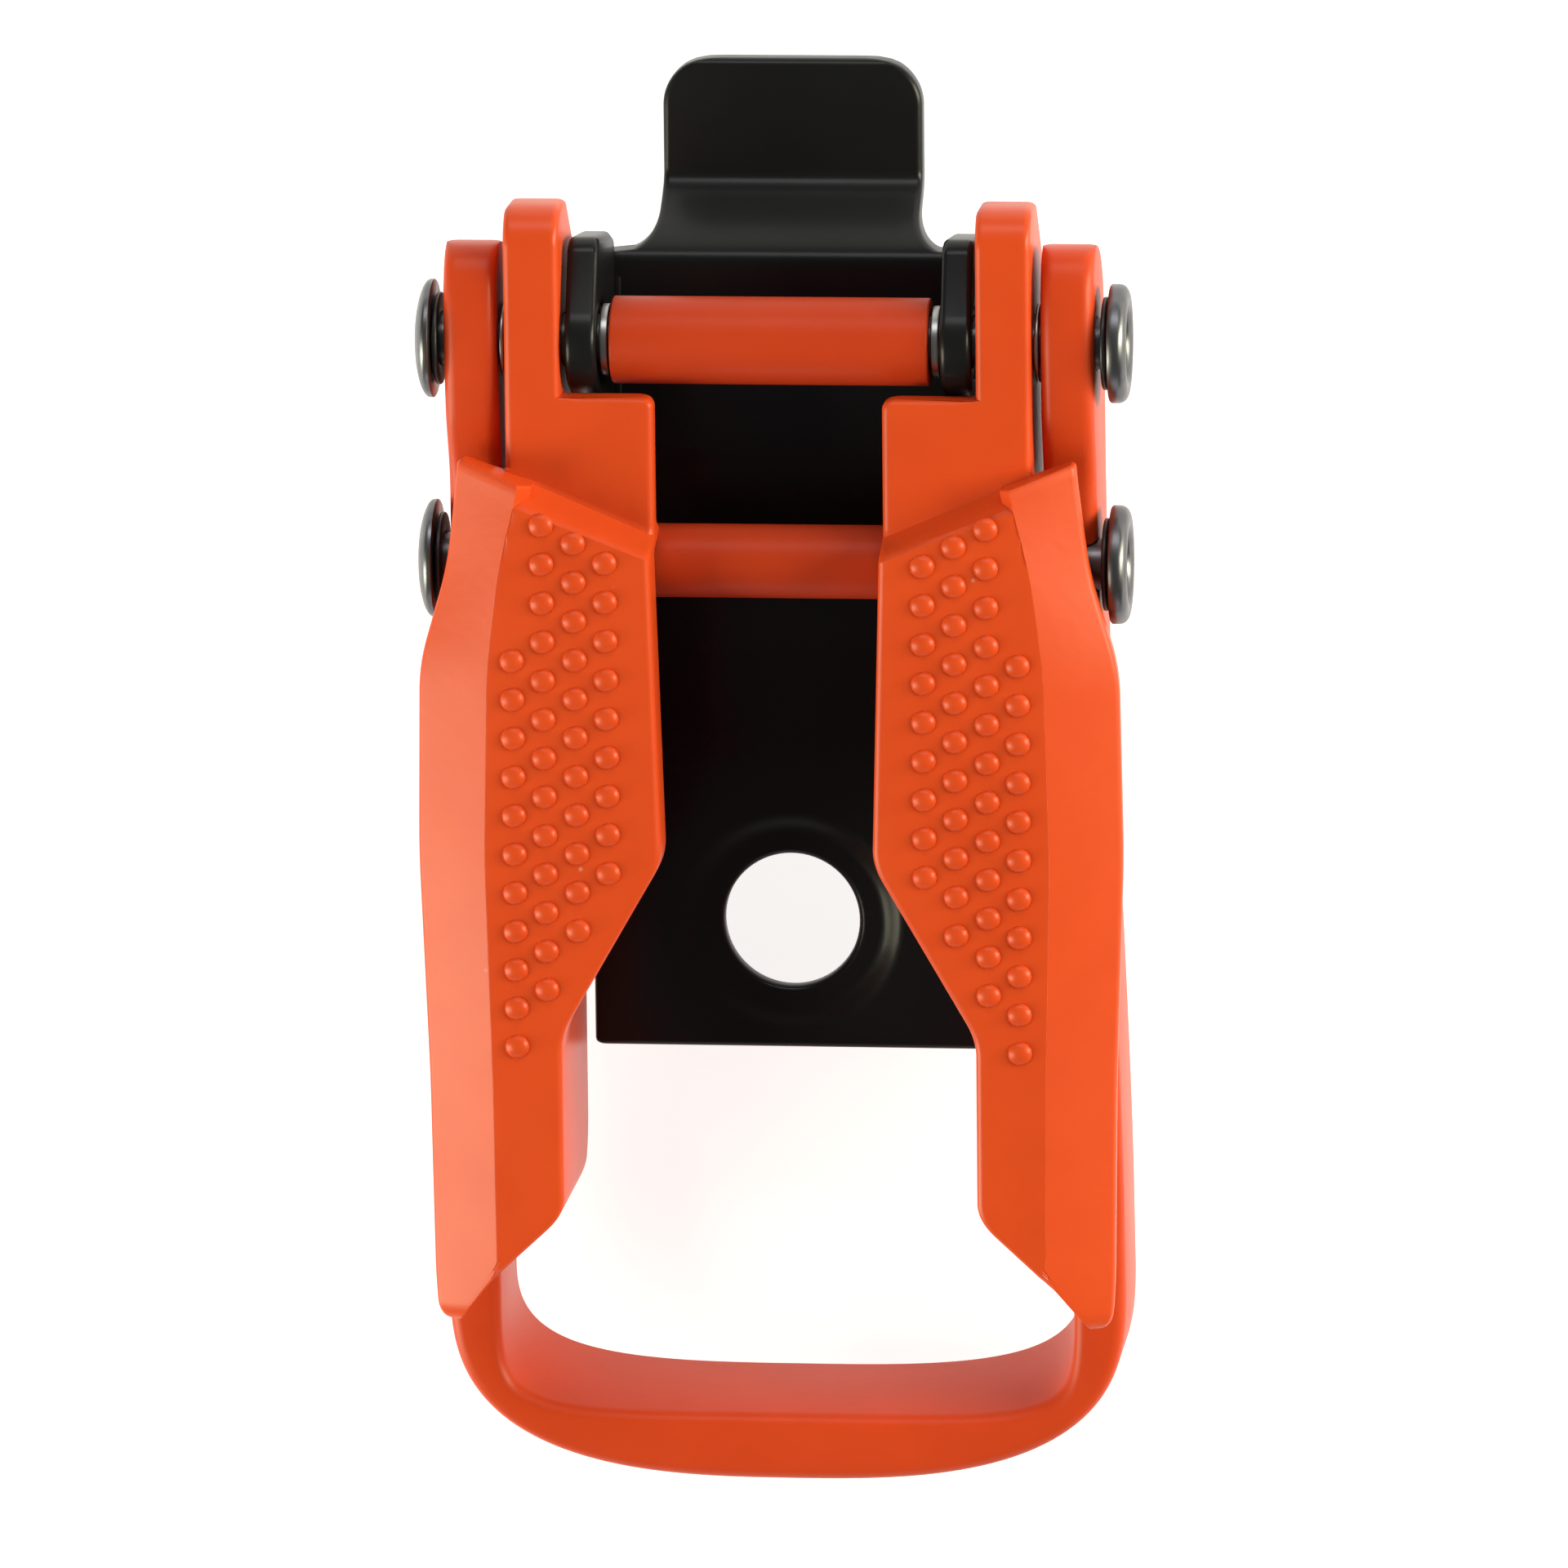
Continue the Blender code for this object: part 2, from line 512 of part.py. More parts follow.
def washers(stem, y, inner, outer, radius):
    """A left and a right washer filling the gap between two planes, less the side play."""
    pair = []
    for label, side in (("left", -1), ("right", 1)):
        x0 = side * (inner + END_FLOAT)
        x1 = side * (outer - END_FLOAT)
        pair.append(tube(f"{stem}_{label}", min(x0, x1), max(x0, x1), BORE_RADIUS, radius, (0, y, PIVOT_HEIGHT)))
    return pair


def build_buckle():
    clear_scene()
    orange = finish("orange_enamel", (0.66, 0.055, 0.013), 0.38, 0.0)
    deep_orange = finish("orange_sleeve", (0.48, 0.048, 0.012), 0.45, 0.0)
    black = finish("black_enamel", (0.006, 0.006, 0.007), 0.22, 0.0)
    bright = finish("zinc_steel", (0.62, 0.62, 0.60), 0.30, 1.0)
    dark = finish("dark_steel", (0.16, 0.16, 0.17), 0.35, 1.0)
    bronze = finish("bearing_bronze", (0.45, 0.30, 0.12), 0.40, 1.0)
    lever = joint_empty("lever_joint", 0.0)
    strap = joint_empty("strap_roller_joint", STRAP_Y)

    place([base_plate()], None, black)
    place([lever_loop(), grip("grip_left", -1), grip("grip_right", 1)], lever, orange)
    place([axle("pivot_axle", 0.0), axle("strap_axle", STRAP_Y)], lever, dark)

    roller_end = EAR_INNER - END_FLOAT - WASHER_THICKNESS - END_FLOAT
    pivot_sleeve = BORE_RADIUS + PIVOT_SLEEVE_WALL
    place([tube("pivot_roller", -roller_end, roller_end, BORE_RADIUS, pivot_sleeve,
                (0, 0, PIVOT_HEIGHT))], None, deep_orange)
    place(washers("pivot_roller_washer", 0.0, roller_end, EAR_INNER, END_WASHER_RADIUS), None, bright)

    strap_end = WALL_INNER - END_FLOAT - WASHER_THICKNESS - END_FLOAT
    strap_sleeve = BORE_RADIUS + STRAP_SLEEVE_WALL
    place([tube("strap_roller", -strap_end, strap_end, BORE_RADIUS, strap_sleeve,
                (0, STRAP_Y, PIVOT_HEIGHT))], strap, deep_orange)
    place(washers("strap_roller_washer", STRAP_Y, strap_end, WALL_INNER, END_WASHER_RADIUS), lever, bright)

    bush_in = EAR_INNER + END_FLOAT / 2
    bush_out = EAR_OUTER - END_FLOAT / 2
    for label, x0, x1 in (("left", -bush_out, -bush_in), ("right", bush_in, bush_out)):
        place([tube(f"base_ear_bush_{label}", x0, x1, BORE_RADIUS, BUSH_RADIUS, (0, 0, PIVOT_HEIGHT))],
              None, bronze)

    for stem, y in (("pivot", 0.0), ("strap", STRAP_Y)):
        place(washers(f"{stem}_spacer", y, WALL_OUTER, ARM_INNER, SPACER_RADIUS), lever, bright)
        place(washers(f"{stem}_head_washer", y, ARM_FACE, HEAD_SEAT, HEAD_WASHER_RADIUS), lever, black)


build_buckle()
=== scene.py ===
"""Looks of the over-centre strap buckle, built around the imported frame."""
import math

import bmesh
import bpy
from mathutils import Matrix, Vector


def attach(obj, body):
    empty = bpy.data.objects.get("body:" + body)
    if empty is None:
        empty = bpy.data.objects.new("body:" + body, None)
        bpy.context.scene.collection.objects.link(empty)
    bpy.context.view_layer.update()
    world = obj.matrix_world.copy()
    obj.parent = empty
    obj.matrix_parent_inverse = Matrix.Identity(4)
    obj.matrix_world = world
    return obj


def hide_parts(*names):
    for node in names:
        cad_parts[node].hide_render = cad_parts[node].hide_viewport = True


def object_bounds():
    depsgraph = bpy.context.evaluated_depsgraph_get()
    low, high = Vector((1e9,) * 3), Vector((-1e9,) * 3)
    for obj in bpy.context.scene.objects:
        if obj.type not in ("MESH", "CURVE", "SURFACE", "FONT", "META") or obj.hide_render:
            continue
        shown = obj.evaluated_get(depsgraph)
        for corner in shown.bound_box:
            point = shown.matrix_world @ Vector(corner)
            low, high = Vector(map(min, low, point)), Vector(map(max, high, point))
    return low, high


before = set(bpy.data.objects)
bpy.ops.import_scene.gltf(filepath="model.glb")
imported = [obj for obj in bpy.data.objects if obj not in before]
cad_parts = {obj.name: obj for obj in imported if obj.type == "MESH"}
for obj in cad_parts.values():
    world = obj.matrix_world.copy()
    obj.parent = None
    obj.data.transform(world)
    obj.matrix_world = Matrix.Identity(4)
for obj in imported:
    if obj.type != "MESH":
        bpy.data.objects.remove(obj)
cad_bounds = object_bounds()
MM = 0.001


# ---------------------------------------------------------------------------
# Base plate: one blank of steel sheet, its ears folded up beside the strap and
# its tongue stepped down in front, dipped in thick glossy black enamel.
# ---------------------------------------------------------------------------

def paint_film_group():
    """Film of baked paint: faint tone drift, dust specks, orange-peel bump."""
    group = bpy.data.node_groups.new("paint_film", "ShaderNodeTree")
    face = group.interface
    for name, kind, value in (("Colour", "NodeSocketColor", (0.5, 0.5, 0.5, 1.0)),
                              ("Deep Colour", "NodeSocketColor", (0.3, 0.3, 0.3, 1.0)),
                              ("Drift", "NodeSocketFloat", 0.3), ("Dust", "NodeSocketFloat", 0.1),
                              ("Roughness", "NodeSocketFloat", 0.35), ("Peel", "NodeSocketFloat", 0.1)):
        socket = face.new_socket(name=name, in_out="INPUT", socket_type=kind)
        socket.default_value = value
    face.new_socket(name="Colour", in_out="OUTPUT", socket_type="NodeSocketColor")
    face.new_socket(name="Roughness", in_out="OUTPUT", socket_type="NodeSocketFloat")
    face.new_socket(name="Normal", in_out="OUTPUT", socket_type="NodeSocketVector")
    nodes, link = group.nodes, group.links.new
    entry = nodes.new("NodeGroupInput")
    leave = nodes.new("NodeGroupOutput")
    place = nodes.new("ShaderNodeTexCoord")

    cloud = nodes.new("ShaderNodeTexNoise")
    cloud.inputs["Scale"].default_value = 240
    cloud.inputs["Detail"].default_value = 5
    cloud_share = nodes.new("ShaderNodeMath")
    cloud_share.operation = "MULTIPLY"
    tone = nodes.new("ShaderNodeMix")
    tone.data_type = "RGBA"
    link(place.outputs["Object"], cloud.inputs["Vector"])
    link(cloud.outputs["Fac"], cloud_share.inputs[0])
    link(entry.outputs["Drift"], cloud_share.inputs[1])
    link(cloud_share.outputs[0], tone.inputs["Factor"])
    link(entry.outputs["Colour"], tone.inputs["A"])
    link(entry.outputs["Deep Colour"], tone.inputs["B"])

    speck = nodes.new("ShaderNodeTexVoronoi")
    speck.inputs["Scale"].default_value = 420
    speck_mask = nodes.new("ShaderNodeMapRange")
    speck_mask.inputs["From Min"].default_value = 0.03
    speck_mask.inputs["From Max"].default_value = 0.07
    speck_mask.inputs["To Min"].default_value = 1.0
    speck_mask.inputs["To Max"].default_value = 0.0
    sparse = nodes.new("ShaderNodeTexNoise")
    sparse.inputs["Scale"].default_value = 150
    sparse_mask = nodes.new("ShaderNodeMapRange")
    sparse_mask.inputs["From Min"].default_value = 0.58
    sparse_mask.inputs["From Max"].default_value = 0.66
    both = nodes.new("ShaderNodeMath")
    both.operation = "MULTIPLY"
    dust_share = nodes.new("ShaderNodeMath")
    dust_share.operation = "MULTIPLY"
    dusty = nodes.new("ShaderNodeMix")
    dusty.data_type = "RGBA"
    dusty.inputs["B"].default_value = (0.62, 0.58, 0.52, 1.0)
    link(place.outputs["Object"], speck.inputs["Vector"])
    link(place.outputs["Object"], sparse.inputs["Vector"])
    link(speck.outputs["Distance"], speck_mask.inputs["Value"])
    link(sparse.outputs["Fac"], sparse_mask.inputs["Value"])
    link(speck_mask.outputs["Result"], both.inputs[0])
    link(sparse_mask.outputs["Result"], both.inputs[1])
    link(both.outputs[0], dust_share.inputs[0])
    link(entry.outputs["Dust"], dust_share.inputs[1])
    link(dust_share.outputs[0], dusty.inputs["Factor"])
    link(tone.outputs["Result"], dusty.inputs["A"])
    link(dusty.outputs["Result"], leave.inputs["Colour"])

    smudge = nodes.new("ShaderNodeTexNoise")
    smudge.inputs["Scale"].default_value = 90
    smudge.inputs["Detail"].default_value = 3
    smudge_range = nodes.new("ShaderNodeMapRange")
    smudge_range.inputs["To Min"].default_value = -0.07
    smudge_range.inputs["To Max"].default_value = 0.07
    rough = nodes.new("ShaderNodeMath")
    rough.operation = "ADD"
    rough.use_clamp = True
    link(place.outputs["Object"], smudge.inputs["Vector"])
    link(smudge.outputs["Fac"], smudge_range.inputs["Value"])
    link(entry.outputs["Roughness"], rough.inputs[0])
    link(smudge_range.outputs["Result"], rough.inputs[1])
    link(rough.outputs[0], leave.inputs["Roughness"])

    peel = nodes.new("ShaderNodeTexNoise")
    peel.inputs["Scale"].default_value = 1500
    peel.inputs["Detail"].default_value = 2
    bump = nodes.new("ShaderNodeBump")
    bump.inputs["Distance"].default_value = 0.00006
    link(place.outputs["Object"], peel.inputs["Vector"])
    link(peel.outputs["Fac"], bump.inputs["Height"])
    link(entry.outputs["Peel"], bump.inputs["Strength"])
    link(bump.outputs["Normal"], leave.inputs["Normal"])
    return group


paint_film = paint_film_group()


def painted(name, colour, deep, drift, dust, roughness, peel, coat, coat_roughness, specular=0.5):
    """A baked paint: the film's colour, roughness and bump under a clear skin."""
    material = bpy.data.materials.new(name)
    material.use_nodes = True
    nodes, link = material.node_tree.nodes, material.node_tree.links.new
    shader = nodes["Principled BSDF"]
    film = nodes.new("ShaderNodeGroup")
    film.node_tree = paint_film
    film.inputs["Colour"].default_value = (*colour, 1.0)
    film.inputs["Deep Colour"].default_value = (*deep, 1.0)
    film.inputs["Drift"].default_value = drift
    film.inputs["Dust"].default_value = dust
    film.inputs["Roughness"].default_value = roughness
    film.inputs["Peel"].default_value = peel
    link(film.outputs["Colour"], shader.inputs["Base Color"])
    link(film.outputs["Roughness"], shader.inputs["Roughness"])
    link(film.outputs["Normal"], shader.inputs["Normal"])
    shader.inputs["Coat Weight"].default_value = coat
    shader.inputs["Coat Roughness"].default_value = coat_roughness
    shader.inputs["Specular IOR Level"].default_value = specular
    return material


black_enamel = painted("black_enamel", (0.0075, 0.0075, 0.0085), (0.0045, 0.0045, 0.005), 0.8, 0.35,
                       0.34, 0.12, 0.08, 0.16, 0.15)


def skin(name, rings, closed=False):
    """A bmesh skinned over equal rings of (x, y, z) in millimetres, capped unless it closes on itself."""
    build = bmesh.new()
    loops = [[build.verts.new(Vector(point) * MM) for point in ring] for ring in rings]
    count = len(rings[0])
    pairs = list(zip(loops, loops[1:])) + ([(loops[-1], loops[0])] if closed else [])
    for near, far in pairs:
        for i in range(count):
            j = (i + 1) % count
            build.faces.new((near[i], near[j], far[j], far[i]))
    if not closed:
        build.faces.new(loops[0])
        build.faces.new(loops[-1])
    return settle(name, build)


def settle(name, build):
    """Turn a closed bmesh into an object: doubles merged, faces outward."""
    bmesh.ops.remove_doubles(build, verts=build.verts, dist=2e-6)
    bmesh.ops.dissolve_degenerate(build, edges=build.edges, dist=1e-6)
    bmesh.ops.triangulate(build, faces=[f for f in build.faces if len(f.verts) > 4], ngon_method="EAR_CLIP")
    bmesh.ops.recalc_face_normals(build, faces=build.faces)
    if build.calc_volume(signed=True) < 0:
        bmesh.ops.reverse_faces(build, faces=build.faces)
    mesh = bpy.data.meshes.new(name)
    build.to_mesh(mesh)
    build.free()
    made = bpy.data.objects.new(name, mesh)
    bpy.context.scene.collection.objects.link(made)
    return made


def slab_x(name, outline, x0, x1, edge, segments=3):
    """A (y, z) outline in millimetres, extruded along X, with its rims rounded."""
    build = bmesh.new()
    near = [build.verts.new(Vector((x0, y, z)) * MM) for y, z in outline]
    face = build.faces.new(near)
    grown = bmesh.ops.extrude_face_region(build, geom=[face])
    moved = [item for item in grown["geom"] if isinstance(item, bmesh.types.BMVert)]
    bmesh.ops.translate(build, verts=moved, vec=((x1 - x0) * MM, 0, 0))
    rims = [e for e in build.edges if abs(e.verts[0].co.x - e.verts[1].co.x) < 1e-7]
    bmesh.ops.bevel(build, geom=rims, offset=edge * MM, segments=segments, profile=0.5, affect="EDGES")
    return settle(name, build)


def combined(target, tool, operation):
    """Boolean the tool into the target and drop the tool."""
    step = target.modifiers.new(operation.lower(), "BOOLEAN")
    step.operation = operation
    step.solver = "MANIFOLD"
    step.object = tool
    bpy.context.view_layer.update()
    result = bpy.data.meshes.new_from_object(target.evaluated_get(bpy.context.evaluated_depsgraph_get()))
    target.modifiers.remove(step)
    target.data = result
    bpy.data.objects.remove(tool, do_unlink=True)


def lathe_x(name, profile, centre, steps=64):
    """Spin a closed (x, radius) profile, in millimetres, about the line along X through centre."""
    rings = []
    for i in range(steps):
        angle = 2 * math.pi * i / steps
        rings.append([(centre[0] + x, centre[1] + r * math.cos(angle), centre[2] + r * math.sin(angle))
                      for x, r in profile])
    return skin(name, rings, closed=True)


def lathe_z(name, profile, centre, steps=72):
    """Spin a closed (radius, z) profile about an upright line through centre."""
    rings = []
    for i in range(steps):
        angle = 2 * math.pi * i / steps
        rings.append([(centre[0] + r * math.cos(angle), centre[1] + r * math.sin(angle), z)
                      for r, z in profile])
    return skin(name, rings, closed=True)


def arc(centre, radius, start, end, steps):
    angles = [math.radians(start + (end - start) * i / steps) for i in range(steps + 1)]
    return [(centre[0] + radius * math.cos(a), centre[1] + radius * math.sin(a)) for a in angles]


def smoothed(piece, angle=38):
    """Smooth shading that keeps corners sharper than the angle, with flats kept flat."""
    piece.data.shade_smooth()
    piece.data.set_sharp_from_angle(angle=math.radians(angle))


def show(piece, material, body, slot, *nodes):
    """Give a finished piece its paint and its place among the bodies."""
    piece.data.materials.clear()
    piece.data.materials.append(material)
    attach(piece, body)
    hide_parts(*nodes)


axle_z = 8.6
sheet = 1.8
ear_inner, ear_outer = 10.0, 11.8
base_rear = -43.6
hole_y = -36.0
tongue_half = 7.65
tongue_tip = 14.7
tongue_drop = 5.2
tongue_corner = 2.8
rear_rim, tongue_rim = 0.4, 0.35


def ease(share):
    share = min(1.0, max(0.0, share))
    return share * share * (3 - 2 * share)


def floor_top(y):
    """Top of the sheet along Y: flat floor, slope, flat tongue."""
    slope_start, slope_end = 3.4, 8.0
    share = (y - slope_start) / (slope_end - slope_start)
    return sheet - tongue_drop * ease(share)


def floor_half_width(y):
    """Half the width of the sheet: full floor, concave root, straight tongue, rounded corners."""
    root, fillet, corner = 4.0, 2.0, tongue_corner
    if y <= root:
        return ear_outer - 0.05
    if y < root + fillet:
        rise = (root + fillet - y) / fillet
        return tongue_half + fillet * (1 - math.sqrt(max(0.0, 1 - rise * rise)))
    past = y - (tongue_tip - corner)
    if past > 0:
        return tongue_half - corner + math.sqrt(max(0.0, corner ** 2 - past ** 2))
    return tongue_half


def sheet_ring(y, inset):
    """Rounded cross-section of the sheet at one place along Y."""
    half, top = floor_half_width(y) - inset, floor_top(y) - inset
    low = floor_top(y) - sheet + inset
    slant = (floor_top(y + 0.05) - floor_top(y - 0.05)) / 0.1
    low -= sheet * (math.sqrt(1 + slant * slant) - 1) * 0.35
    edge = min(0.4, half * 0.2)
    ring = []
    for cx, cz, start in ((half - edge, top - edge, 0), (-half + edge, top - edge, 90),
                          (-half + edge, low + edge, 180), (half - edge, low + edge, 270)):
        ring += [(x, y, z) for x, z in arc((cx, cz), edge, start, start + 90, 4)]
    return ring


def base_stations():
    """Places along Y for the sheet's sections, close together where it bends or narrows."""
    places = [(base_rear + rear_rim - rear_rim * math.cos(math.radians(a)),
               rear_rim - rear_rim * math.sin(math.radians(a))) for a in (0, 22.5, 45, 67.5, 90)]
    places += [(y, 0.0) for y in (-30, -20, -10, -4, 0.0, 2.2, 3.0)]
    places += [(3.4 + 0.23 * i, 0.0) for i in range(0, 3)]
    places += [(4.0 + 0.1 * i, 0.0) for i in range(1, 21)]
    places += [(6.0 + 0.2 * i, 0.0) for i in range(1, 13)]
    for i in range(0, 13):
        angle = math.radians(7 * i)
        places.append((tongue_tip - tongue_rim - (tongue_corner - tongue_rim) * (1 - math.sin(angle)), 0.0))
    for a in (30, 60, 90):
        angle = math.radians(a)
        places.append((tongue_tip - tongue_rim + tongue_rim * math.sin(angle),
                       tongue_rim * (1 - math.cos(angle))))
    return places


base_plate = skin("base_plate_enamelled", [sheet_ring(y, inset) for y, inset in base_stations()])
boss = arc((0.0, axle_z), 3.05, 160, 50, 22)
nose = arc((4.6, 8.4), 1.4, 62, 0, 8)
ear_outline = [(-7.6, 0.5)] + boss + nose + [(5.5, 3.4), (4.9, 1.6), (3.4, 0.8), (2.4, 0.5)]
for side in (-1, 1):
    ear = slab_x("ear", ear_outline, side * ear_inner, side * ear_outer, 0.35)
    combined(base_plate, ear, "UNION")
    bend = slab_x("ear_bend", [(-7.0, 0.9), (-7.0, 1.9), (2.6, 1.9), (2.6, 0.9)],
                  side * (ear_inner - 0.5), side * (ear_inner + 0.9), 0.3)
    combined(base_plate, bend, "UNION")
bore_reach, ear_bore = 15.0, 2.15
bore = lathe_x("ear_bore", [(-bore_reach, 0.0), (-bore_reach, ear_bore), (bore_reach, ear_bore),
                            (bore_reach, 0.0)], (0.0, 0.0, axle_z))
combined(base_plate, bore, "DIFFERENCE")
dish_flat, dish_slope, dish_depth = 5.2, 1.6, 0.5
dish_profile = [(0.0, sheet - dish_depth), (dish_flat, sheet - dish_depth)]
dish_profile += [(dish_flat + dish_slope * i / 8, sheet - dish_depth * (1 - ease(i / 8)))
                 for i in range(1, 9)]
dish_profile += [(7.0, sheet + 2), (0.0, sheet + 2)]
combined(base_plate, lathe_z("dish", dish_profile, (0.0, hole_y)), "DIFFERENCE")
hole_rim, rim_round = 4.4, 0.4
hole_profile = [(0.0, -2.0), (hole_rim, -2.0), (hole_rim, -0.1)]
hole_profile += arc((hole_rim, 0.3), rim_round, 270, 180, 4)
hole_profile += arc((hole_rim, sheet - 0.9), rim_round, 180, 90, 4) + [(hole_rim, 3.0), (0.0, 3.0)]
combined(base_plate, lathe_z("hole", hole_profile, (0.0, hole_y)), "DIFFERENCE")
smoothed(base_plate, 30)
show(base_plate, black_enamel, "base", "black_enamel", "base_plate")


# ---------------------------------------------------------------------------
# Ear bushes: plain bronze rings pressed into the base ears, hidden by the
# sleeve and its end washers.
# ---------------------------------------------------------------------------

def turned_metal_group():
    """Lathe-turned metal: fine rings about X, cloudy tarnish and a roughness that follows them."""
    group = bpy.data.node_groups.new("turned_metal", "ShaderNodeTree")
    face = group.interface
    for name, kind, value in (("Colour", "NodeSocketColor", (0.5, 0.5, 0.5, 1.0)),
                              ("Tarnish", "NodeSocketColor", (0.1, 0.1, 0.1, 1.0)),
                              ("Tarnish Share", "NodeSocketFloat", 0.4),
                              ("Roughness", "NodeSocketFloat", 0.3), ("Rings", "NodeSocketFloat", 0.15)):
        socket = face.new_socket(name=name, in_out="INPUT", socket_type=kind)
        socket.default_value = value
    face.new_socket(name="Colour", in_out="OUTPUT", socket_type="NodeSocketColor")
    face.new_socket(name="Roughness", in_out="OUTPUT", socket_type="NodeSocketFloat")
    face.new_socket(name="Normal", in_out="OUTPUT", socket_type="NodeSocketVector")
    nodes, link = group.nodes, group.links.new
    entry = nodes.new("NodeGroupInput")
    leave = nodes.new("NodeGroupOutput")
    place = nodes.new("ShaderNodeTexCoord")
    cloud = nodes.new("ShaderNodeTexNoise")
    cloud.inputs["Scale"].default_value = 700
    cloud.inputs["Detail"].default_value = 6
    share = nodes.new("ShaderNodeMath")
    share.operation = "MULTIPLY"
    tone = nodes.new("ShaderNodeMix")
    tone.data_type = "RGBA"
    link(place.outputs["Object"], cloud.inputs["Vector"])
    link(cloud.outputs["Fac"], share.inputs[0])
    link(entry.outputs["Tarnish Share"], share.inputs[1])
    link(share.outputs[0], tone.inputs["Factor"])
    link(entry.outputs["Colour"], tone.inputs["A"])
    link(entry.outputs["Tarnish"], tone.inputs["B"])
    link(tone.outputs["Result"], leave.inputs["Colour"])
    stretch = nodes.new("ShaderNodeMapping")
    stretch.inputs["Scale"].default_value = (9000, 500, 500)
    rings = nodes.new("ShaderNodeTexNoise")
    rings.inputs["Scale"].default_value = 1.0
    rings.inputs["Detail"].default_value = 2
    bump = nodes.new("ShaderNodeBump")
    bump.inputs["Distance"].default_value = 0.00003
    link(place.outputs["Object"], stretch.inputs["Vector"])
    link(stretch.outputs["Vector"], rings.inputs["Vector"])
    link(rings.outputs["Fac"], bump.inputs["Height"])
    link(entry.outputs["Rings"], bump.inputs["Strength"])
    link(bump.outputs["Normal"], leave.inputs["Normal"])
    vary = nodes.new("ShaderNodeMapRange")
    vary.inputs["To Min"].default_value = -0.08
    vary.inputs["To Max"].default_value = 0.10
    rough = nodes.new("ShaderNodeMath")
    rough.operation = "ADD"
    rough.use_clamp = True
    link(cloud.outputs["Fac"], vary.inputs["Value"])
    link(entry.outputs["Roughness"], rough.inputs[0])
    link(vary.outputs["Result"], rough.inputs[1])
    link(rough.outputs[0], leave.inputs["Roughness"])
    return group


turned_metal = turned_metal_group()


def metal(name, colour, tarnish, tarnish_share, roughness, rings):
    """A turned metal finish."""
    material = bpy.data.materials.new(name)
    material.use_nodes = True
    nodes, link = material.node_tree.nodes, material.node_tree.links.new
    shader = nodes["Principled BSDF"]
    film = nodes.new("ShaderNodeGroup")
    film.node_tree = turned_metal
    film.inputs["Colour"].default_value = (*colour, 1.0)
    film.inputs["Tarnish"].default_value = (*tarnish, 1.0)
    film.inputs["Tarnish Share"].default_value = tarnish_share
    film.inputs["Roughness"].default_value = roughness
    film.inputs["Rings"].default_value = rings
    link(film.outputs["Colour"], shader.inputs["Base Color"])
    link(film.outputs["Roughness"], shader.inputs["Roughness"])
    link(film.outputs["Normal"], shader.inputs["Normal"])
    shader.inputs["Metallic"].default_value = 1.0
    return material


bronze = metal("bearing_bronze", (0.45, 0.29, 0.12), (0.12, 0.07, 0.03), 0.5, 0.35, 0.2)
bore_radius = 1.6


def ring_profile(x0, x1, inner, outer, edge):
    """Section of a ring with its four edges rounded, as (x, radius)."""
    corners = ((x0 + edge, inner + edge, 180), (x1 - edge, inner + edge, 270),
               (x1 - edge, outer - edge, 0), (x0 + edge, outer - edge, 90))
    profile = []
    for cx, cr, start in corners:
        profile += arc((cx, cr), edge, start, start + 90, 3)
    return profile


def ring(name, side, near, far, outer, edge, y):
    """A ring between two distances from the centre plane, on the left (-1) or the right (+1)."""
    x0, x1 = sorted((side * near, side * far))
    made = lathe_x(name, ring_profile(x0, x1, bore_radius, outer, edge), (0.0, y, axle_z))
    smoothed(made, 40)
    return made


sides = (("left", -1), ("right", 1))
bush_radius, bush_set_in, ring_edge = 2.05, 0.06, 0.1
for label, side in sides:
    bush = ring(f"ear_bush_{label}", side, ear_inner + bush_set_in, ear_outer - bush_set_in,
                bush_radius, ring_edge, 0.0)
    show(bush, bronze, "base", "bearing_bronze", f"base_ear_bush_{label}")


# ---------------------------------------------------------------------------
# Sleeves: steel tubes in a darker orange coat that turn on the two rivets. The
# strap runs under the upper one, and its teeth catch on the lower one.
# ---------------------------------------------------------------------------

orange_sleeve = painted("orange_sleeve", (0.47, 0.043, 0.009), (0.40, 0.030, 0.006), 0.7, 0.25,
                        0.42, 0.15, 0.0, 0.35, 0.15)
end_float, washer, sleeve_edge = 0.12, 0.5, 0.14
pivot_sleeve_end = ear_inner - 2 * end_float - washer
pivot_sleeve_wall = 0.95
pivot_sleeve_radius = bore_radius + pivot_sleeve_wall
pivot_sleeve = lathe_x("pivot_sleeve_coated",
                       ring_profile(-pivot_sleeve_end, pivot_sleeve_end, bore_radius,
                                    pivot_sleeve_radius, sleeve_edge),
                       (0.0, 0.0, axle_z), 96)
smoothed(pivot_sleeve, 40)
show(pivot_sleeve, orange_sleeve, "pivot_roller", "orange_sleeve", "pivot_roller")

wall_inner, wall_outer = 12.1, 15.3
strap_y = -13.0
strap_sleeve_end = wall_inner - 2 * end_float - washer
strap_sleeve_wall = 0.55
strap_sleeve_radius = bore_radius + strap_sleeve_wall
strap_sleeve = lathe_x("strap_sleeve_coated",
                       ring_profile(-strap_sleeve_end, strap_sleeve_end, bore_radius,
                                    strap_sleeve_radius, sleeve_edge),
                       (0.0, strap_y, axle_z), 96)
smoothed(strap_sleeve, 40)
show(strap_sleeve, orange_sleeve, "strap_roller", "orange_sleeve", "strap_roller")


# ---------------------------------------------------------------------------
# Washers: bright zinc rings at the ends of the sleeves and between grips and
# loop arms, and black ones under the rivet heads.
# ---------------------------------------------------------------------------

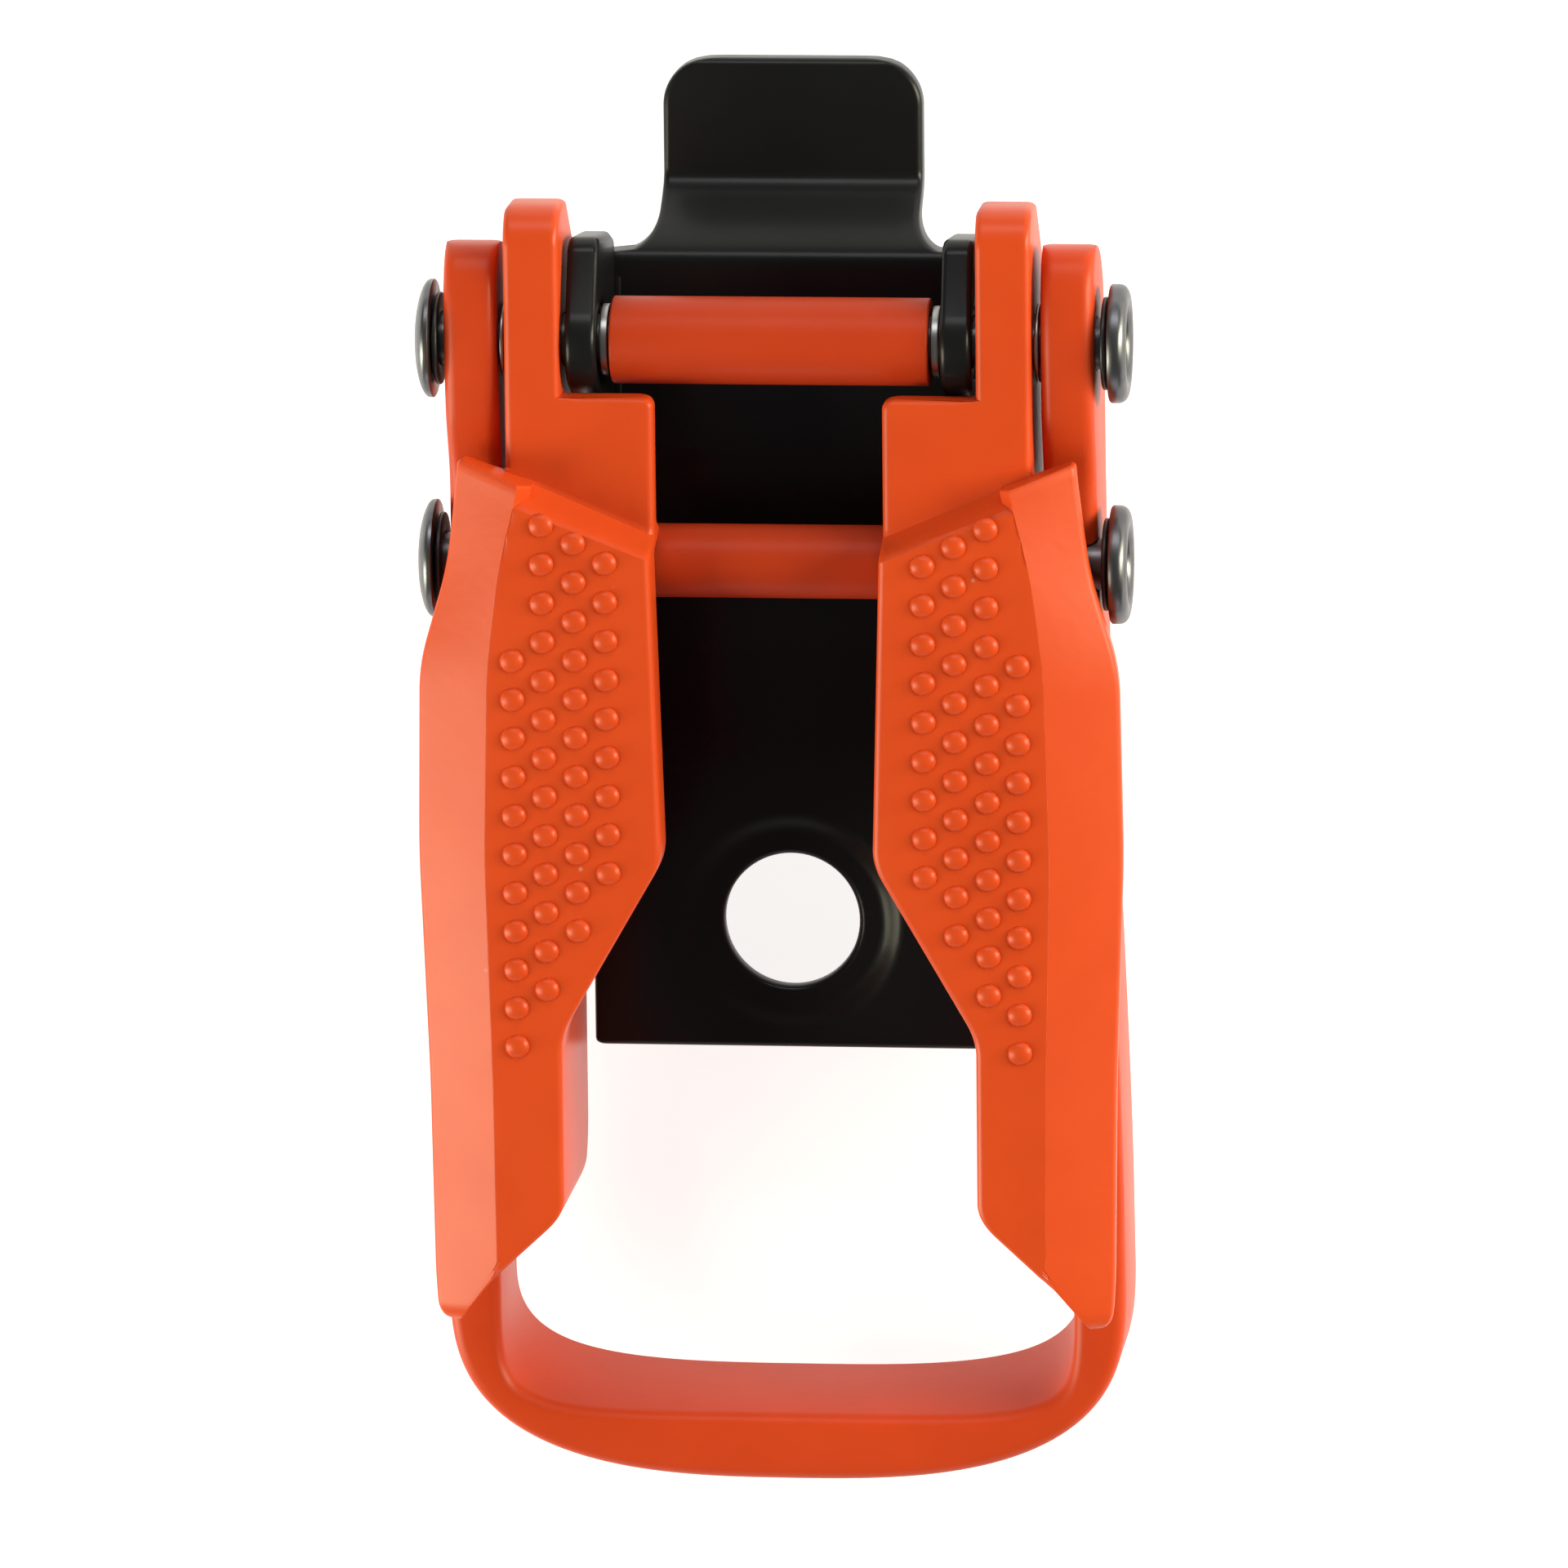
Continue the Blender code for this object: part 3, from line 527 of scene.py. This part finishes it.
zinc = metal("bright_zinc", (0.42, 0.42, 0.41), (0.20, 0.19, 0.18), 0.5, 0.34, 0.15)
black_washer = painted("black_washer", (0.012, 0.012, 0.013), (0.006, 0.006, 0.006), 0.8, 0.3,
                       0.45, 0.2, 0.1, 0.4)
arm_inner, arm_outer, arm_flare = 15.8, 18.9, 1.2
head_washer, head_flare = 0.3, 0.2
arm_face = arm_outer + head_flare * arm_flare
end_ring_radius, head_ring_radius, spacer_radius = 2.1, 2.7, 2.3
for label, side in sides:
    end_ring = ring(f"pivot_end_ring_{label}", side, pivot_sleeve_end + end_float, ear_inner - end_float,
                    end_ring_radius, ring_edge, 0.0)
    show(end_ring, zinc, "base", "zinc_steel", f"pivot_roller_washer_{label}")
    end_ring = ring(f"strap_end_ring_{label}", side, strap_sleeve_end + end_float, wall_inner - end_float,
                    end_ring_radius, ring_edge, strap_y)
    show(end_ring, zinc, "lever", "zinc_steel", f"strap_roller_washer_{label}")
    for stem, y in (("pivot", 0.0), ("strap", strap_y)):
        spacer = ring(f"{stem}_spacer_ring_{label}", side, wall_outer + end_float, arm_inner - end_float,
                      spacer_radius, ring_edge, y)
        show(spacer, zinc, "lever", "zinc_steel", f"{stem}_spacer_{label}")
        under_head = ring(f"{stem}_head_ring_{label}", side, arm_face + end_float,
                          arm_face + end_float + head_washer, head_ring_radius, 0.12, y)
        show(under_head, black_washer, "lever", "black_enamel", f"{stem}_head_washer_{label}")


# ---------------------------------------------------------------------------
# Rivets: two semi-tubular steel rivets right through the buckle. The left heads
# are factory domes, and the right ends are rolled over, with a pit in the middle.
# ---------------------------------------------------------------------------

dark_steel = metal("dark_steel", (0.20, 0.20, 0.21), (0.05, 0.05, 0.055), 0.8, 0.34, 0.25)
pin_radius, head_radius, head_height = 1.5, 3.45, 1.1
dome_rim, rolled_rim, pit_radius = 0.25, 0.45, 1.9
head_seat = arm_face + 2 * end_float + head_washer


def rivet_profile():
    """Section of a rivet as (x, radius), from the dome's pole to the bottom of the pit."""
    dome = []
    for i in range(15):
        angle = math.radians(90 * i / 14)
        dome.append((-head_seat - dome_rim - (head_height - dome_rim) * math.cos(angle),
                     head_radius * math.sin(angle)))
    profile = dome + [(-head_seat - 0.06, head_radius), (-head_seat, head_radius - 0.08),
                      (-head_seat, pin_radius)]
    profile += [(head_seat, pin_radius), (head_seat, head_radius - 0.1), (head_seat + 0.1, head_radius)]
    middle, half = (head_radius + pit_radius) / 2, (head_radius - pit_radius) / 2
    rise = head_height - rolled_rim
    for i in range(17):
        angle = math.pi * i / 16
        profile.append((head_seat + rolled_rim + rise * math.sin(angle) ** 0.8,
                        middle + half * math.cos(angle)))
    profile += [(head_seat + 0.42, 1.5), (head_seat + 0.4, 1.3), (head_seat + 0.4, 0.0)]
    return profile


for name, y, node in (("pivot_rivet", 0.0, "pivot_axle"), ("strap_rivet", strap_y, "strap_axle")):
    rivet = lathe_x(name, rivet_profile(), (0.0, y, axle_z))
    smoothed(rivet, 50)
    show(rivet, dark_steel, "lever", "dark_steel", node)


# ---------------------------------------------------------------------------
# Grips: two mirrored steel castings in orange powder coat. Each has a side wall,
# a flange over the strap, a raised plateau for the thumb and a sloping fin.
# ---------------------------------------------------------------------------

orange_coat = painted("orange_powder_coat", (0.62, 0.064, 0.010), (0.52, 0.047, 0.007), 0.8, 0.3,
                      0.37, 0.16, 0.0, 0.25, 0.24)
flange_front, flange_corner, flange_thickness = -2.886, 0.6, 1.6
flange_inner = wall_inner - 5.45
flange_top, plateau_top, plateau_thickness = axle_z + 3.2, axle_z + 6.0, 3.2
grip_tip = -57.7
grip_nose, nose_round = 8.1, 2.2
crease_foot, crease_width = 6.6, 7.6
wall_bottom = axle_z - 6.3
fin_front = -7.0
fin_blend = 1.6


def along(table, y, spread=0.0):
    """Read a (y, value) polyline at y, rounded off over the spread."""
    if spread:
        steps = 8
        return sum(along(table, y + spread * (2 * (i + 0.5) / steps - 1)) for i in range(steps)) / steps
    if y >= table[0][0]:
        return table[0][1]
    for (y0, v0), (y1, v1) in zip(table, table[1:]):
        if y >= y1:
            return v0 + (v1 - v0) * (y0 - y) / (y0 - y1)
    return table[-1][1]


inner_edge_line = [(flange_front, flange_inner), (-12.0, flange_inner), (-29.8, flange_inner - 0.5),
                   (-40.1, wall_inner), (-50.9, wall_inner), (-54.9, 16.4), (-56.9, 17.9), (grip_tip, 18.6)]
fin_root_line = [(fin_front, 13.6), (strap_y, 14.7), (-51.9, 14.7), (-54.9, 16.45), (-56.9, 17.95),
                 (grip_tip, 18.45)]
ridge_line = [(fin_front, 14.2), (strap_y, 15.5), (-18.5, 16.2), (-29.6, 16.5), (-43.0, 16.2),
              (grip_tip, 16.1)]
fin_edge_line = [(fin_front, 17.9), (strap_y, 18.75), (-18.5, 20.4), (-29.6, 20.6), (-43.0, 20.15),
                 (-55.5, 20.0), (grip_tip, 19.8)]
fin_drop_line = [(fin_front, 1.8), (strap_y, 1.9), (-18.5, 2.0), (grip_tip, 2.0)]


def inner_edge(y):
    """The grip's inner edge: the wall in front of the flange, then flange, waist and tip."""
    if y > flange_front:
        return wall_inner
    corner = flange_corner
    into = flange_front - y
    rounding = corner - math.sqrt(max(0.0, corner ** 2 - (corner - into) ** 2)) if into < corner else 0.0
    return along(inner_edge_line, y, 1.0 if y < -14 else 0.0) + rounding


def grip_top(x, y):
    """Height of the grip's upper face: ear and flange level, then a diagonal rise to the plateau."""
    if y > grip_nose - nose_round:
        past = y - grip_nose + nose_round
        return flange_top - nose_round + math.sqrt(max(0.0, nose_round ** 2 - past ** 2))
    across = min(1.0, max(0.0, (x - crease_foot) / crease_width))
    crease = -10.9 + 3.3 * across
    rise = (plateau_top - flange_top) * ease((crease - y) / (1.1 + 0.3 * across))
    return flange_top + rise


def wall_low(y):
    """Height of the wall's lower edge: chin at the front, straight, heel swept up at the rear."""
    chin_back, chin_rise = 3.4, 4.9
    heel_start, heel_end, heel_radius, heel_rise = -47.4, -51.34, 4.0, 3.35
    if y > chin_back:
        return wall_bottom + (y - chin_back) / (grip_nose - chin_back) * chin_rise
    if y > heel_start:
        return wall_bottom
    plate = plateau_top - plateau_thickness
    if y > heel_end:
        return wall_bottom + heel_radius - math.sqrt(max(0.0, heel_radius ** 2 - (y - heel_start) ** 2))
    return min(plate, wall_bottom + heel_rise + (heel_end - y) / 0.5 * (plate - wall_bottom - heel_rise))


def fin_plane(x, y):
    """Height of the fin's sloping face."""
    ridge, edge = along(ridge_line, y, fin_blend), along(fin_edge_line, y, fin_blend)
    return plateau_top - along(fin_drop_line, y, fin_blend) * max(0.0, (x - ridge) / (edge - ridge))


slant_line = [(-3.4, 0.0), (-10.9, 3.3), (-12.0, 3.0), (-24.0, 0.0), (grip_tip, 0.0)]


def grip_section(station, inset=0.0):
    """Rounded section of the wall and plate, slanted to follow the creases, for the right grip."""
    edge = 0.42
    slant = along(slant_line, station)

    def at(x):
        return station + slant * min(1.15, max(0.0, (x - crease_foot) / crease_width))

    inner = inner_edge(station) + inset
    wall_in = max(wall_inner + inset, inner)
    wall_out = max(wall_outer - inset, inner + 0.9)
    behind = at(wall_out) < fin_front
    ridge = along(ridge_line, at(wall_out), fin_blend)
    outer = max(wall_out, ridge - 0.03) if behind else wall_out
    outer_edge = 0.03 if behind else edge
    front_drop = 0.0
    into = flange_front - station
    front_round = 0.4
    if 0 <= into < front_round:
        front_drop = front_round - math.sqrt(max(0.0, front_round ** 2 - (front_round - into) ** 2))
    low = wall_low(station) + inset

    def top_at(x):
        height = grip_top(x, at(x)) - inset
        if behind and x > ridge:
            height = min(height, fin_plane(x, at(x)) - 0.05)
        return height

    points = []
    inner_top = top_at(inner + edge) - front_drop
    points += arc((inner + edge, inner_top - edge), edge, 180, 90, 5)
    seam = max(wall_inner + inset, inner + edge)
    for i in range(1, 8):
        x = inner + edge + (seam - inner - edge) * i / 7
        points.append((x, top_at(x) - front_drop * (1 if i < 7 else 0)))
    last = outer - outer_edge
    for i in range(1, 9):
        x = seam + (last - seam) * i / 8
        points.append((x, top_at(x)))
    outer_top = top_at(last)
    points += arc((last, outer_top - outer_edge), outer_edge, 90, 0, 5)[1:]
    points += [(outer, min(outer_top - outer_edge, 13.2)), (wall_out, min(outer_top - outer_edge, 12.4))]
    foot = min(0.35, max(0.02, (outer_top - low) / 4), (wall_out - wall_in) / 3)
    points += arc((wall_out - foot, low + foot), foot, 0, -90, 4)
    points += arc((wall_in + foot, low + foot), foot, -90, -180, 4)
    share = ease((-10.2 - station) / 1.0)
    thicker = plateau_thickness - flange_thickness
    under = max(low, grip_top(crease_foot, station) - flange_thickness - thicker * share)
    reach = wall_in - inner
    fillet = min(0.8, reach / 3, max(0.0, under - low))
    points += arc((wall_in - fillet, under - fillet), fillet, 0, 90, 3)
    lip = min(0.4, reach / 3)
    points += arc((inner + lip, under + lip), lip, -90, -180, 4)
    return [(x, at(x), z) for x, z in points]


def grip_places():
    """Stations (y, inset) from nose to tip, close where the shape turns."""
    places = [(grip_nose - 0.4 + 0.4 * math.sin(math.radians(a)), 0.4 * (1 - math.cos(math.radians(a))))
              for a in (90, 67, 45, 22, 0)]
    places += [(grip_nose - 0.4 - 0.12 * i, 0.0) for i in range(1, 17)]
    places += [(y, 0.0) for y in (5.3, 4.6, 4.0, 3.4, 2.0, 0.0, -1.5, flange_front + 0.0005)]
    places += [(flange_front - 0.05 * i, 0.0) for i in range(0, 13)]
    places += [(y, 0.0) for y in (-4.0, -5.2, -6.2, -6.99)]
    places += [(-7.0 - 0.2 * i, 0.0) for i in range(0, 41)]
    places += [(-15.5 - 1.0 * i, 0.0) for i in range(0, 13)]
    places += [(-28.2 - 0.25 * i, 0.0) for i in range(0, 14)]
    places += [(-32.0 - 1.0 * i, 0.0) for i in range(0, 7)]
    places += [(-38.6 - 0.2 * i, 0.0) for i in range(0, 16)]
    places += [(-42.5 - 1.0 * i, 0.0) for i in range(0, 5)]
    places += [(-47.4 - 0.2 * i, 0.0) for i in range(0, 45)]
    return places


def fin_section(y, skew, inset=0.0):
    """Section of the fin: root inside the wall, ridge, rounded outer edge and underside."""
    ridge = along(ridge_line, y, fin_blend)
    edge = along(fin_edge_line, y, fin_blend) - inset
    root = along(fin_root_line, y)
    drop = along(fin_drop_line, y, fin_blend)
    slope = drop / (along(fin_edge_line, y, fin_blend) - ridge)
    thick, lip = 1.6, 0.3
    round_top, round_low = 0.42, 0.36

    def face_at(x):
        return plateau_top - inset - slope * max(0.0, x - ridge)

    bury = 0.9 * ease((y + 53.6) / 1.2)
    rim_z = face_at(edge)
    points = [(root, face_at(root) - bury - lip), (root + 0.1, face_at(root) - bury - 0.08)]
    crown = max(ridge, root + lip)
    points += [(crown - 0.02, face_at(crown) - bury * (root + lip > ridge)),
               (crown + 0.1, face_at(crown + 0.1))]
    outer = max(edge, crown + 0.48)
    points += arc((outer - round_top, rim_z - round_top + 0.2), round_top, 68, -8, 6)
    points += arc((outer - round_low - 0.05, rim_z - thick + round_low + inset), round_low, -12, -90, 5)
    points += [(root, rim_z - thick + inset)]
    rows = []
    for x, z in points:
        lean = skew * (2 * (x - ridge) / (edge - ridge) - 1)
        rows.append((x, y + lean, z))
    return rows


def fin_places():
    """Stations (y, slant, inset) from the slanted front end to the rounded tip."""
    front_round, slant = 0.25, 0.6
    places = [(fin_front - front_round + front_round * math.sin(math.radians(a)), slant,
               front_round * (1 - math.cos(math.radians(a)))) for a in (90, 60, 30, 0)]
    for i in range(1, 14):
        places.append((fin_front - front_round - 0.4 * i, slant * max(0.0, 1 - i / 9), 0.0))
    places += [(-12.8 - 0.5 * i, 0.0, 0.0) for i in range(0, 18)]
    places += [(-22.0 - 1.0 * i, 0.0, 0.0) for i in range(0, 29)]
    places += [(-50.4 - 0.3 * i, 0.0, 0.0) for i in range(0, 21)]
    places += [(grip_tip + 1.1 - 1.1 * math.sin(math.radians(a)), 0.0, 0.7 * (1 - math.cos(math.radians(a))))
               for a in (0, 15, 30, 45, 60, 75, 90)]
    return places


def mirrored(piece):
    """Reflect a finished mesh across the centre plane, faces kept outward."""
    piece.data.transform(Matrix.Scale(-1, 4, Vector((1, 0, 0))))
    piece.data.flip_normals()


def grip_casting(name):
    """The right-hand grip as one closed shell with its two rivet bores."""
    casting = skin(name, [grip_section(y, inset) for y, inset in grip_places()])
    combined(casting, skin("fin", [fin_section(*place) for place in fin_places()]), "UNION")
    for y in (0.0, strap_y):
        cutter = lathe_x("rivet_bore", [(10.0, 0.0), (10.0, bore_radius), (16.5, bore_radius), (16.5, 0.0)],
                         (0.0, y, axle_z))
        combined(casting, cutter, "DIFFERENCE")
    return casting


for label, side in sides:
    casting = grip_casting(f"grip_casting_{label}")
    if side < 0:
        mirrored(casting)
    smoothed(casting, 21)
    show(casting, orange_coat, "lever", "orange_enamel", f"grip_{label}")


# ---------------------------------------------------------------------------
# Grip domes: four staggered columns of small cast domes on each plateau, so a
# gloved thumb doesn't slip.
# ---------------------------------------------------------------------------

dome_pitch, dome_radius, dome_height = 2.29, 0.72, 0.40
dome_columns = ((14.7, -17.9, 11), (12.9, -9.9, 13), (11.04, -10.95, 11), (9.22, -12.1, 9))


def dome_centres(side):
    """Centres of the domes of one grip."""
    points = []
    for x, first, count in dome_columns:
        for i in range(count):
            y = first - dome_pitch * i
            if grip_top(x, y) > plateau_top - 0.4:
                points.append((side * x * MM, y * MM, (grip_top(x, y) - 0.03) * MM))
    return points


def dome_tree():
    """Geometry nodes: a flattened ball on every point, made real, in the coat's material."""
    tree = bpy.data.node_groups.new("dome_pattern", "GeometryNodeTree")
    face = tree.interface
    face.new_socket(name="Geometry", in_out="INPUT", socket_type="NodeSocketGeometry")
    for name, kind in (("Radius", "NodeSocketFloat"), ("Height", "NodeSocketFloat"),
                       ("Material", "NodeSocketMaterial")):
        face.new_socket(name=name, in_out="INPUT", socket_type=kind)
    face.new_socket(name="Geometry", in_out="OUTPUT", socket_type="NodeSocketGeometry")
    nodes, link = tree.nodes, tree.links.new
    entry, leave = nodes.new("NodeGroupInput"), nodes.new("NodeGroupOutput")
    ball = nodes.new("GeometryNodeMeshUVSphere")
    ball.inputs["Segments"].default_value = 14
    ball.inputs["Rings"].default_value = 9
    ball.inputs["Radius"].default_value = 1.0
    size = nodes.new("ShaderNodeCombineXYZ")
    spread = nodes.new("GeometryNodeInstanceOnPoints")
    real = nodes.new("GeometryNodeRealizeInstances")
    even = nodes.new("GeometryNodeSetShadeSmooth")
    coat = nodes.new("GeometryNodeSetMaterial")
    link(entry.outputs["Radius"], size.inputs["X"])
    link(entry.outputs["Radius"], size.inputs["Y"])
    link(entry.outputs["Height"], size.inputs["Z"])
    link(entry.outputs["Geometry"], spread.inputs["Points"])
    link(ball.outputs["Mesh"], spread.inputs["Instance"])
    link(size.outputs["Vector"], spread.inputs["Scale"])
    link(spread.outputs["Instances"], real.inputs["Geometry"])
    link(real.outputs["Geometry"], even.inputs["Geometry"])
    link(even.outputs["Geometry"], coat.inputs["Geometry"])
    link(entry.outputs["Material"], coat.inputs["Material"])
    link(coat.outputs["Geometry"], leave.inputs["Geometry"])
    return tree


dome_pattern = dome_tree()
for label, side in sides:
    seeds = bpy.data.meshes.new(f"grip_domes_{label}")
    seeds.from_pydata(dome_centres(side), [], [])
    domes = bpy.data.objects.new(f"grip_domes_{label}", seeds)
    bpy.context.scene.collection.objects.link(domes)
    pattern = domes.modifiers.new("pattern", "NODES")
    pattern.node_group = dome_pattern
    inputs = {item.name: item.identifier for item in dome_pattern.interface.items_tree
              if item.in_out == "INPUT"}
    pattern[inputs["Radius"]] = dome_radius * MM
    pattern[inputs["Height"]] = dome_height * MM
    pattern[inputs["Material"]] = orange_coat
    real_mesh = bpy.data.meshes.new_from_object(domes.evaluated_get(bpy.context.evaluated_depsgraph_get()))
    domes.modifiers.remove(pattern)
    domes.data = real_mesh
    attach(domes, "lever")


# ---------------------------------------------------------------------------
# Finger loop: one bar of steel bent round the end of the lever, its two arms
# riveted outside the grips, in the same orange powder coat.
# ---------------------------------------------------------------------------

loop_orange = painted("orange_loop_coat", (0.56, 0.052, 0.010), (0.46, 0.040, 0.007), 0.9, 0.3,
                      0.38, 0.14, 0.0, 0.2, 0.18)
arm_front = 5.7
loop_end = -57.0
loop_end_run = 11.8
shoulder_rise = 2.9
loop_shoulder = axle_z + shoulder_rise
bar_top, bar_bottom = 6.6, -1.8


def loop_heights(y):
    """Bottom and top of the loop at one place along Y."""
    if y > 0:
        share = min(1.0, y / arm_front)
        return (axle_z - arm_front * (1 - share ** 2.2) ** (1 / 2.2),
                axle_z + shoulder_rise * (1 - share ** 3) ** (1 / 3))
    run = min(1.0, y / loop_end)
    deepest = 1.2
    dip = deepest * ease((-y - 3.5) / 5.0) * max(0.0, 1 - y / loop_end)
    start = axle_z - arm_front
    return start + (bar_bottom - start) * run, loop_shoulder + (bar_top - loop_shoulder) * run - dip


def superellipse(angle, power):
    along_x, along_y = math.cos(angle), math.sin(angle)
    scale = (abs(along_x) ** power + abs(along_y) ** power) ** (-1 / power)
    return along_x * scale, along_y * scale


def loop_stations():
    """Plan stations right arm, end, left arm: inner (x, y) low, inner (x, y) high, outer (x, y)."""
    right = []
    flare_start = 8.0
    arm = [arm_front * math.sin(math.radians(a)) for a in (88, 82, 75, 67, 58, 48, 36, 24, 12, 0)]
    arm += [-1.5, -3.0] + [-3.5 - 0.5 * i for i in range(0, 12)] + [-12 - 3.0 * i for i in range(0, 14)]
    for y in arm:
        flare = arm_flare * ease((-y - flare_start) / (-loop_end - flare_start))
        right.append(((arm_inner + flare, y), (arm_inner + flare, y), (arm_outer + flare, y)))
    end = []
    steps = 96
    for i in range(steps + 1):
        angle = math.pi * i / steps
        row = []
        for half, run, power in ((arm_inner + arm_flare, loop_end_run - 5.3, 3.2),
                                 (arm_inner + arm_flare, loop_end_run - 3.9, 6.0),
                                 (arm_outer + arm_flare, loop_end_run, 2.8)):
            x, y = superellipse(angle, power)
            row.append((half * x, loop_end - run * y))
        end.append(tuple(row))
    left = [tuple((-x, y) for x, y in row) for row in reversed(right)]
    return right + end + left


def loop_section(station, round_edge=0.75):
    """Rounded section between the inner and outer outlines; the inner face leans in towards its foot."""
    (low_x, low_y), (high_x, high_y), (out_x, out_y) = station
    low, high = loop_heights(high_y)
    high_share = min(round_edge, (high - low) / 3)

    def at(across, up):
        in_x = low_x + (high_x - low_x) * up
        in_y = low_y + (high_y - low_y) * up
        return (in_x + (out_x - in_x) * across, in_y + (out_y - in_y) * across, low + (high - low) * up)

    width = math.hypot(out_x - high_x, out_y - high_y)
    radius_across, radius_up = high_share / width, high_share / (high - low)
    ring_points = []
    for cu, cz, start in ((radius_across, 1 - radius_up, 180), (1 - radius_across, 1 - radius_up, 90),
                          (1 - radius_across, radius_up, 0), (radius_across, radius_up, -90)):
        for k in range(6):
            angle = math.radians(start - 90 * k / 5)
            ring_points.append(at(cu + radius_across * math.cos(angle), cz + radius_up * math.sin(angle)))
    return ring_points


finger_loop = skin("finger_loop", [loop_section(station) for station in loop_stations()])
for y in (0.0, strap_y):
    for side in (-1, 1):
        x0, x1 = sorted((side * 15.2, side * 21.5))
        cutter = lathe_x("rivet_bore", [(x0, 0.0), (x0, bore_radius), (x1, bore_radius), (x1, 0.0)],
                         (0.0, y, axle_z))
        combined(finger_loop, cutter, "DIFFERENCE")
smoothed(finger_loop, 30)
show(finger_loop, loop_orange, "lever", "orange_enamel", "lever_loop")


# ---------------------------------------------------------------------------
# Studio: a pale, faintly glowing paper floor, two warm side boxes, and weak front and rear boxes.
# ---------------------------------------------------------------------------

(low_x, low_y, low_z), (high_x, high_y, high_z) = cad_bounds
floor_z = low_z - 0.0001
floor_mesh = bpy.data.meshes.new("paper_floor")
reach = 3.0
floor_mesh.from_pydata([(-reach, -reach, floor_z), (reach, -reach, floor_z), (reach, reach, floor_z),
                        (-reach, reach, floor_z)], [], [(0, 1, 2, 3)])
paper_floor = bpy.data.objects.new("paper_floor", floor_mesh)
bpy.context.scene.collection.objects.link(paper_floor)
paper = bpy.data.materials.new("pale_paper")
paper.use_nodes = True
paper_shader = paper.node_tree.nodes["Principled BSDF"]
paper_shader.inputs["Base Color"].default_value = (0.5, 0.5, 0.5, 1.0)
paper_shader.inputs["Roughness"].default_value = 0.9
paper_shader.inputs["Specular IOR Level"].default_value = 0.1
paper_shader.inputs["Emission Color"].default_value = (1.0, 1.0, 1.0, 1.0)
paper_shader.inputs["Emission Strength"].default_value = 0.8
floor_mesh.materials.append(paper)

middle = Vector(((low_x + high_x) / 2, (low_y + high_y) / 2, (low_z + high_z) / 2))


def soft_box(name, offset, width, height, watts, colour=(1.0, 1.0, 1.0)):
    """An area light aimed at the buckle's middle."""
    data = bpy.data.lights.new(name, "AREA")
    data.shape = "RECTANGLE"
    data.size, data.size_y = width, height
    data.energy = watts
    data.color = colour
    box = bpy.data.objects.new(name, data)
    box.location = middle + Vector(offset)
    box.rotation_euler = (middle - box.location).to_track_quat("-Z", "Y").to_euler()
    bpy.context.scene.collection.objects.link(box)


warm = (0.97, 0.96, 0.72)
soft_box("left_box", (-0.47, -0.16, 0.16), 0.22, 0.60, 5.1, warm)
soft_box("right_box", (0.48, 0.12, 0.14), 0.18, 0.45, 5.1, warm)
soft_box("front_box", (0.02, 0.45, 0.25), 0.5, 0.15, 1.0)
soft_box("rear_box", (0.0, -0.55, 0.15), 0.5, 0.15, 0.5)

world = bpy.data.worlds.new("studio_air")
world.use_nodes = True
world.node_tree.nodes["Background"].inputs["Color"].default_value = (1.0, 1.0, 1.0, 1.0)
world.node_tree.nodes["Background"].inputs["Strength"].default_value = 0.16
bpy.context.scene.world = world

lean_x, lean_y, roll = 0.11, 0.21, math.radians(-0.6)
distance, frame_width = 0.75, 0.092
towards = Vector((lean_x, lean_y, 1.0)).normalized()
camera_data = bpy.data.cameras.new("camera")
camera_data.sensor_width = 36.0
camera_data.lens = camera_data.sensor_width * distance / frame_width
camera_data.clip_start, camera_data.clip_end = 0.01, 20.0
camera = bpy.data.objects.new("camera", camera_data)
camera.location = middle + towards * distance
upright = (Vector((0, 1, 0)) - towards * towards.y).normalized()
aside = upright.cross(towards)
turn = Matrix((aside, upright, towards)).transposed()
camera.rotation_euler = (turn @ Matrix.Rotation(roll, 3, "Z")).to_euler()
bpy.context.scene.collection.objects.link(camera)
bpy.context.scene.camera = camera

bpy.context.scene.view_settings.view_transform = "Standard"
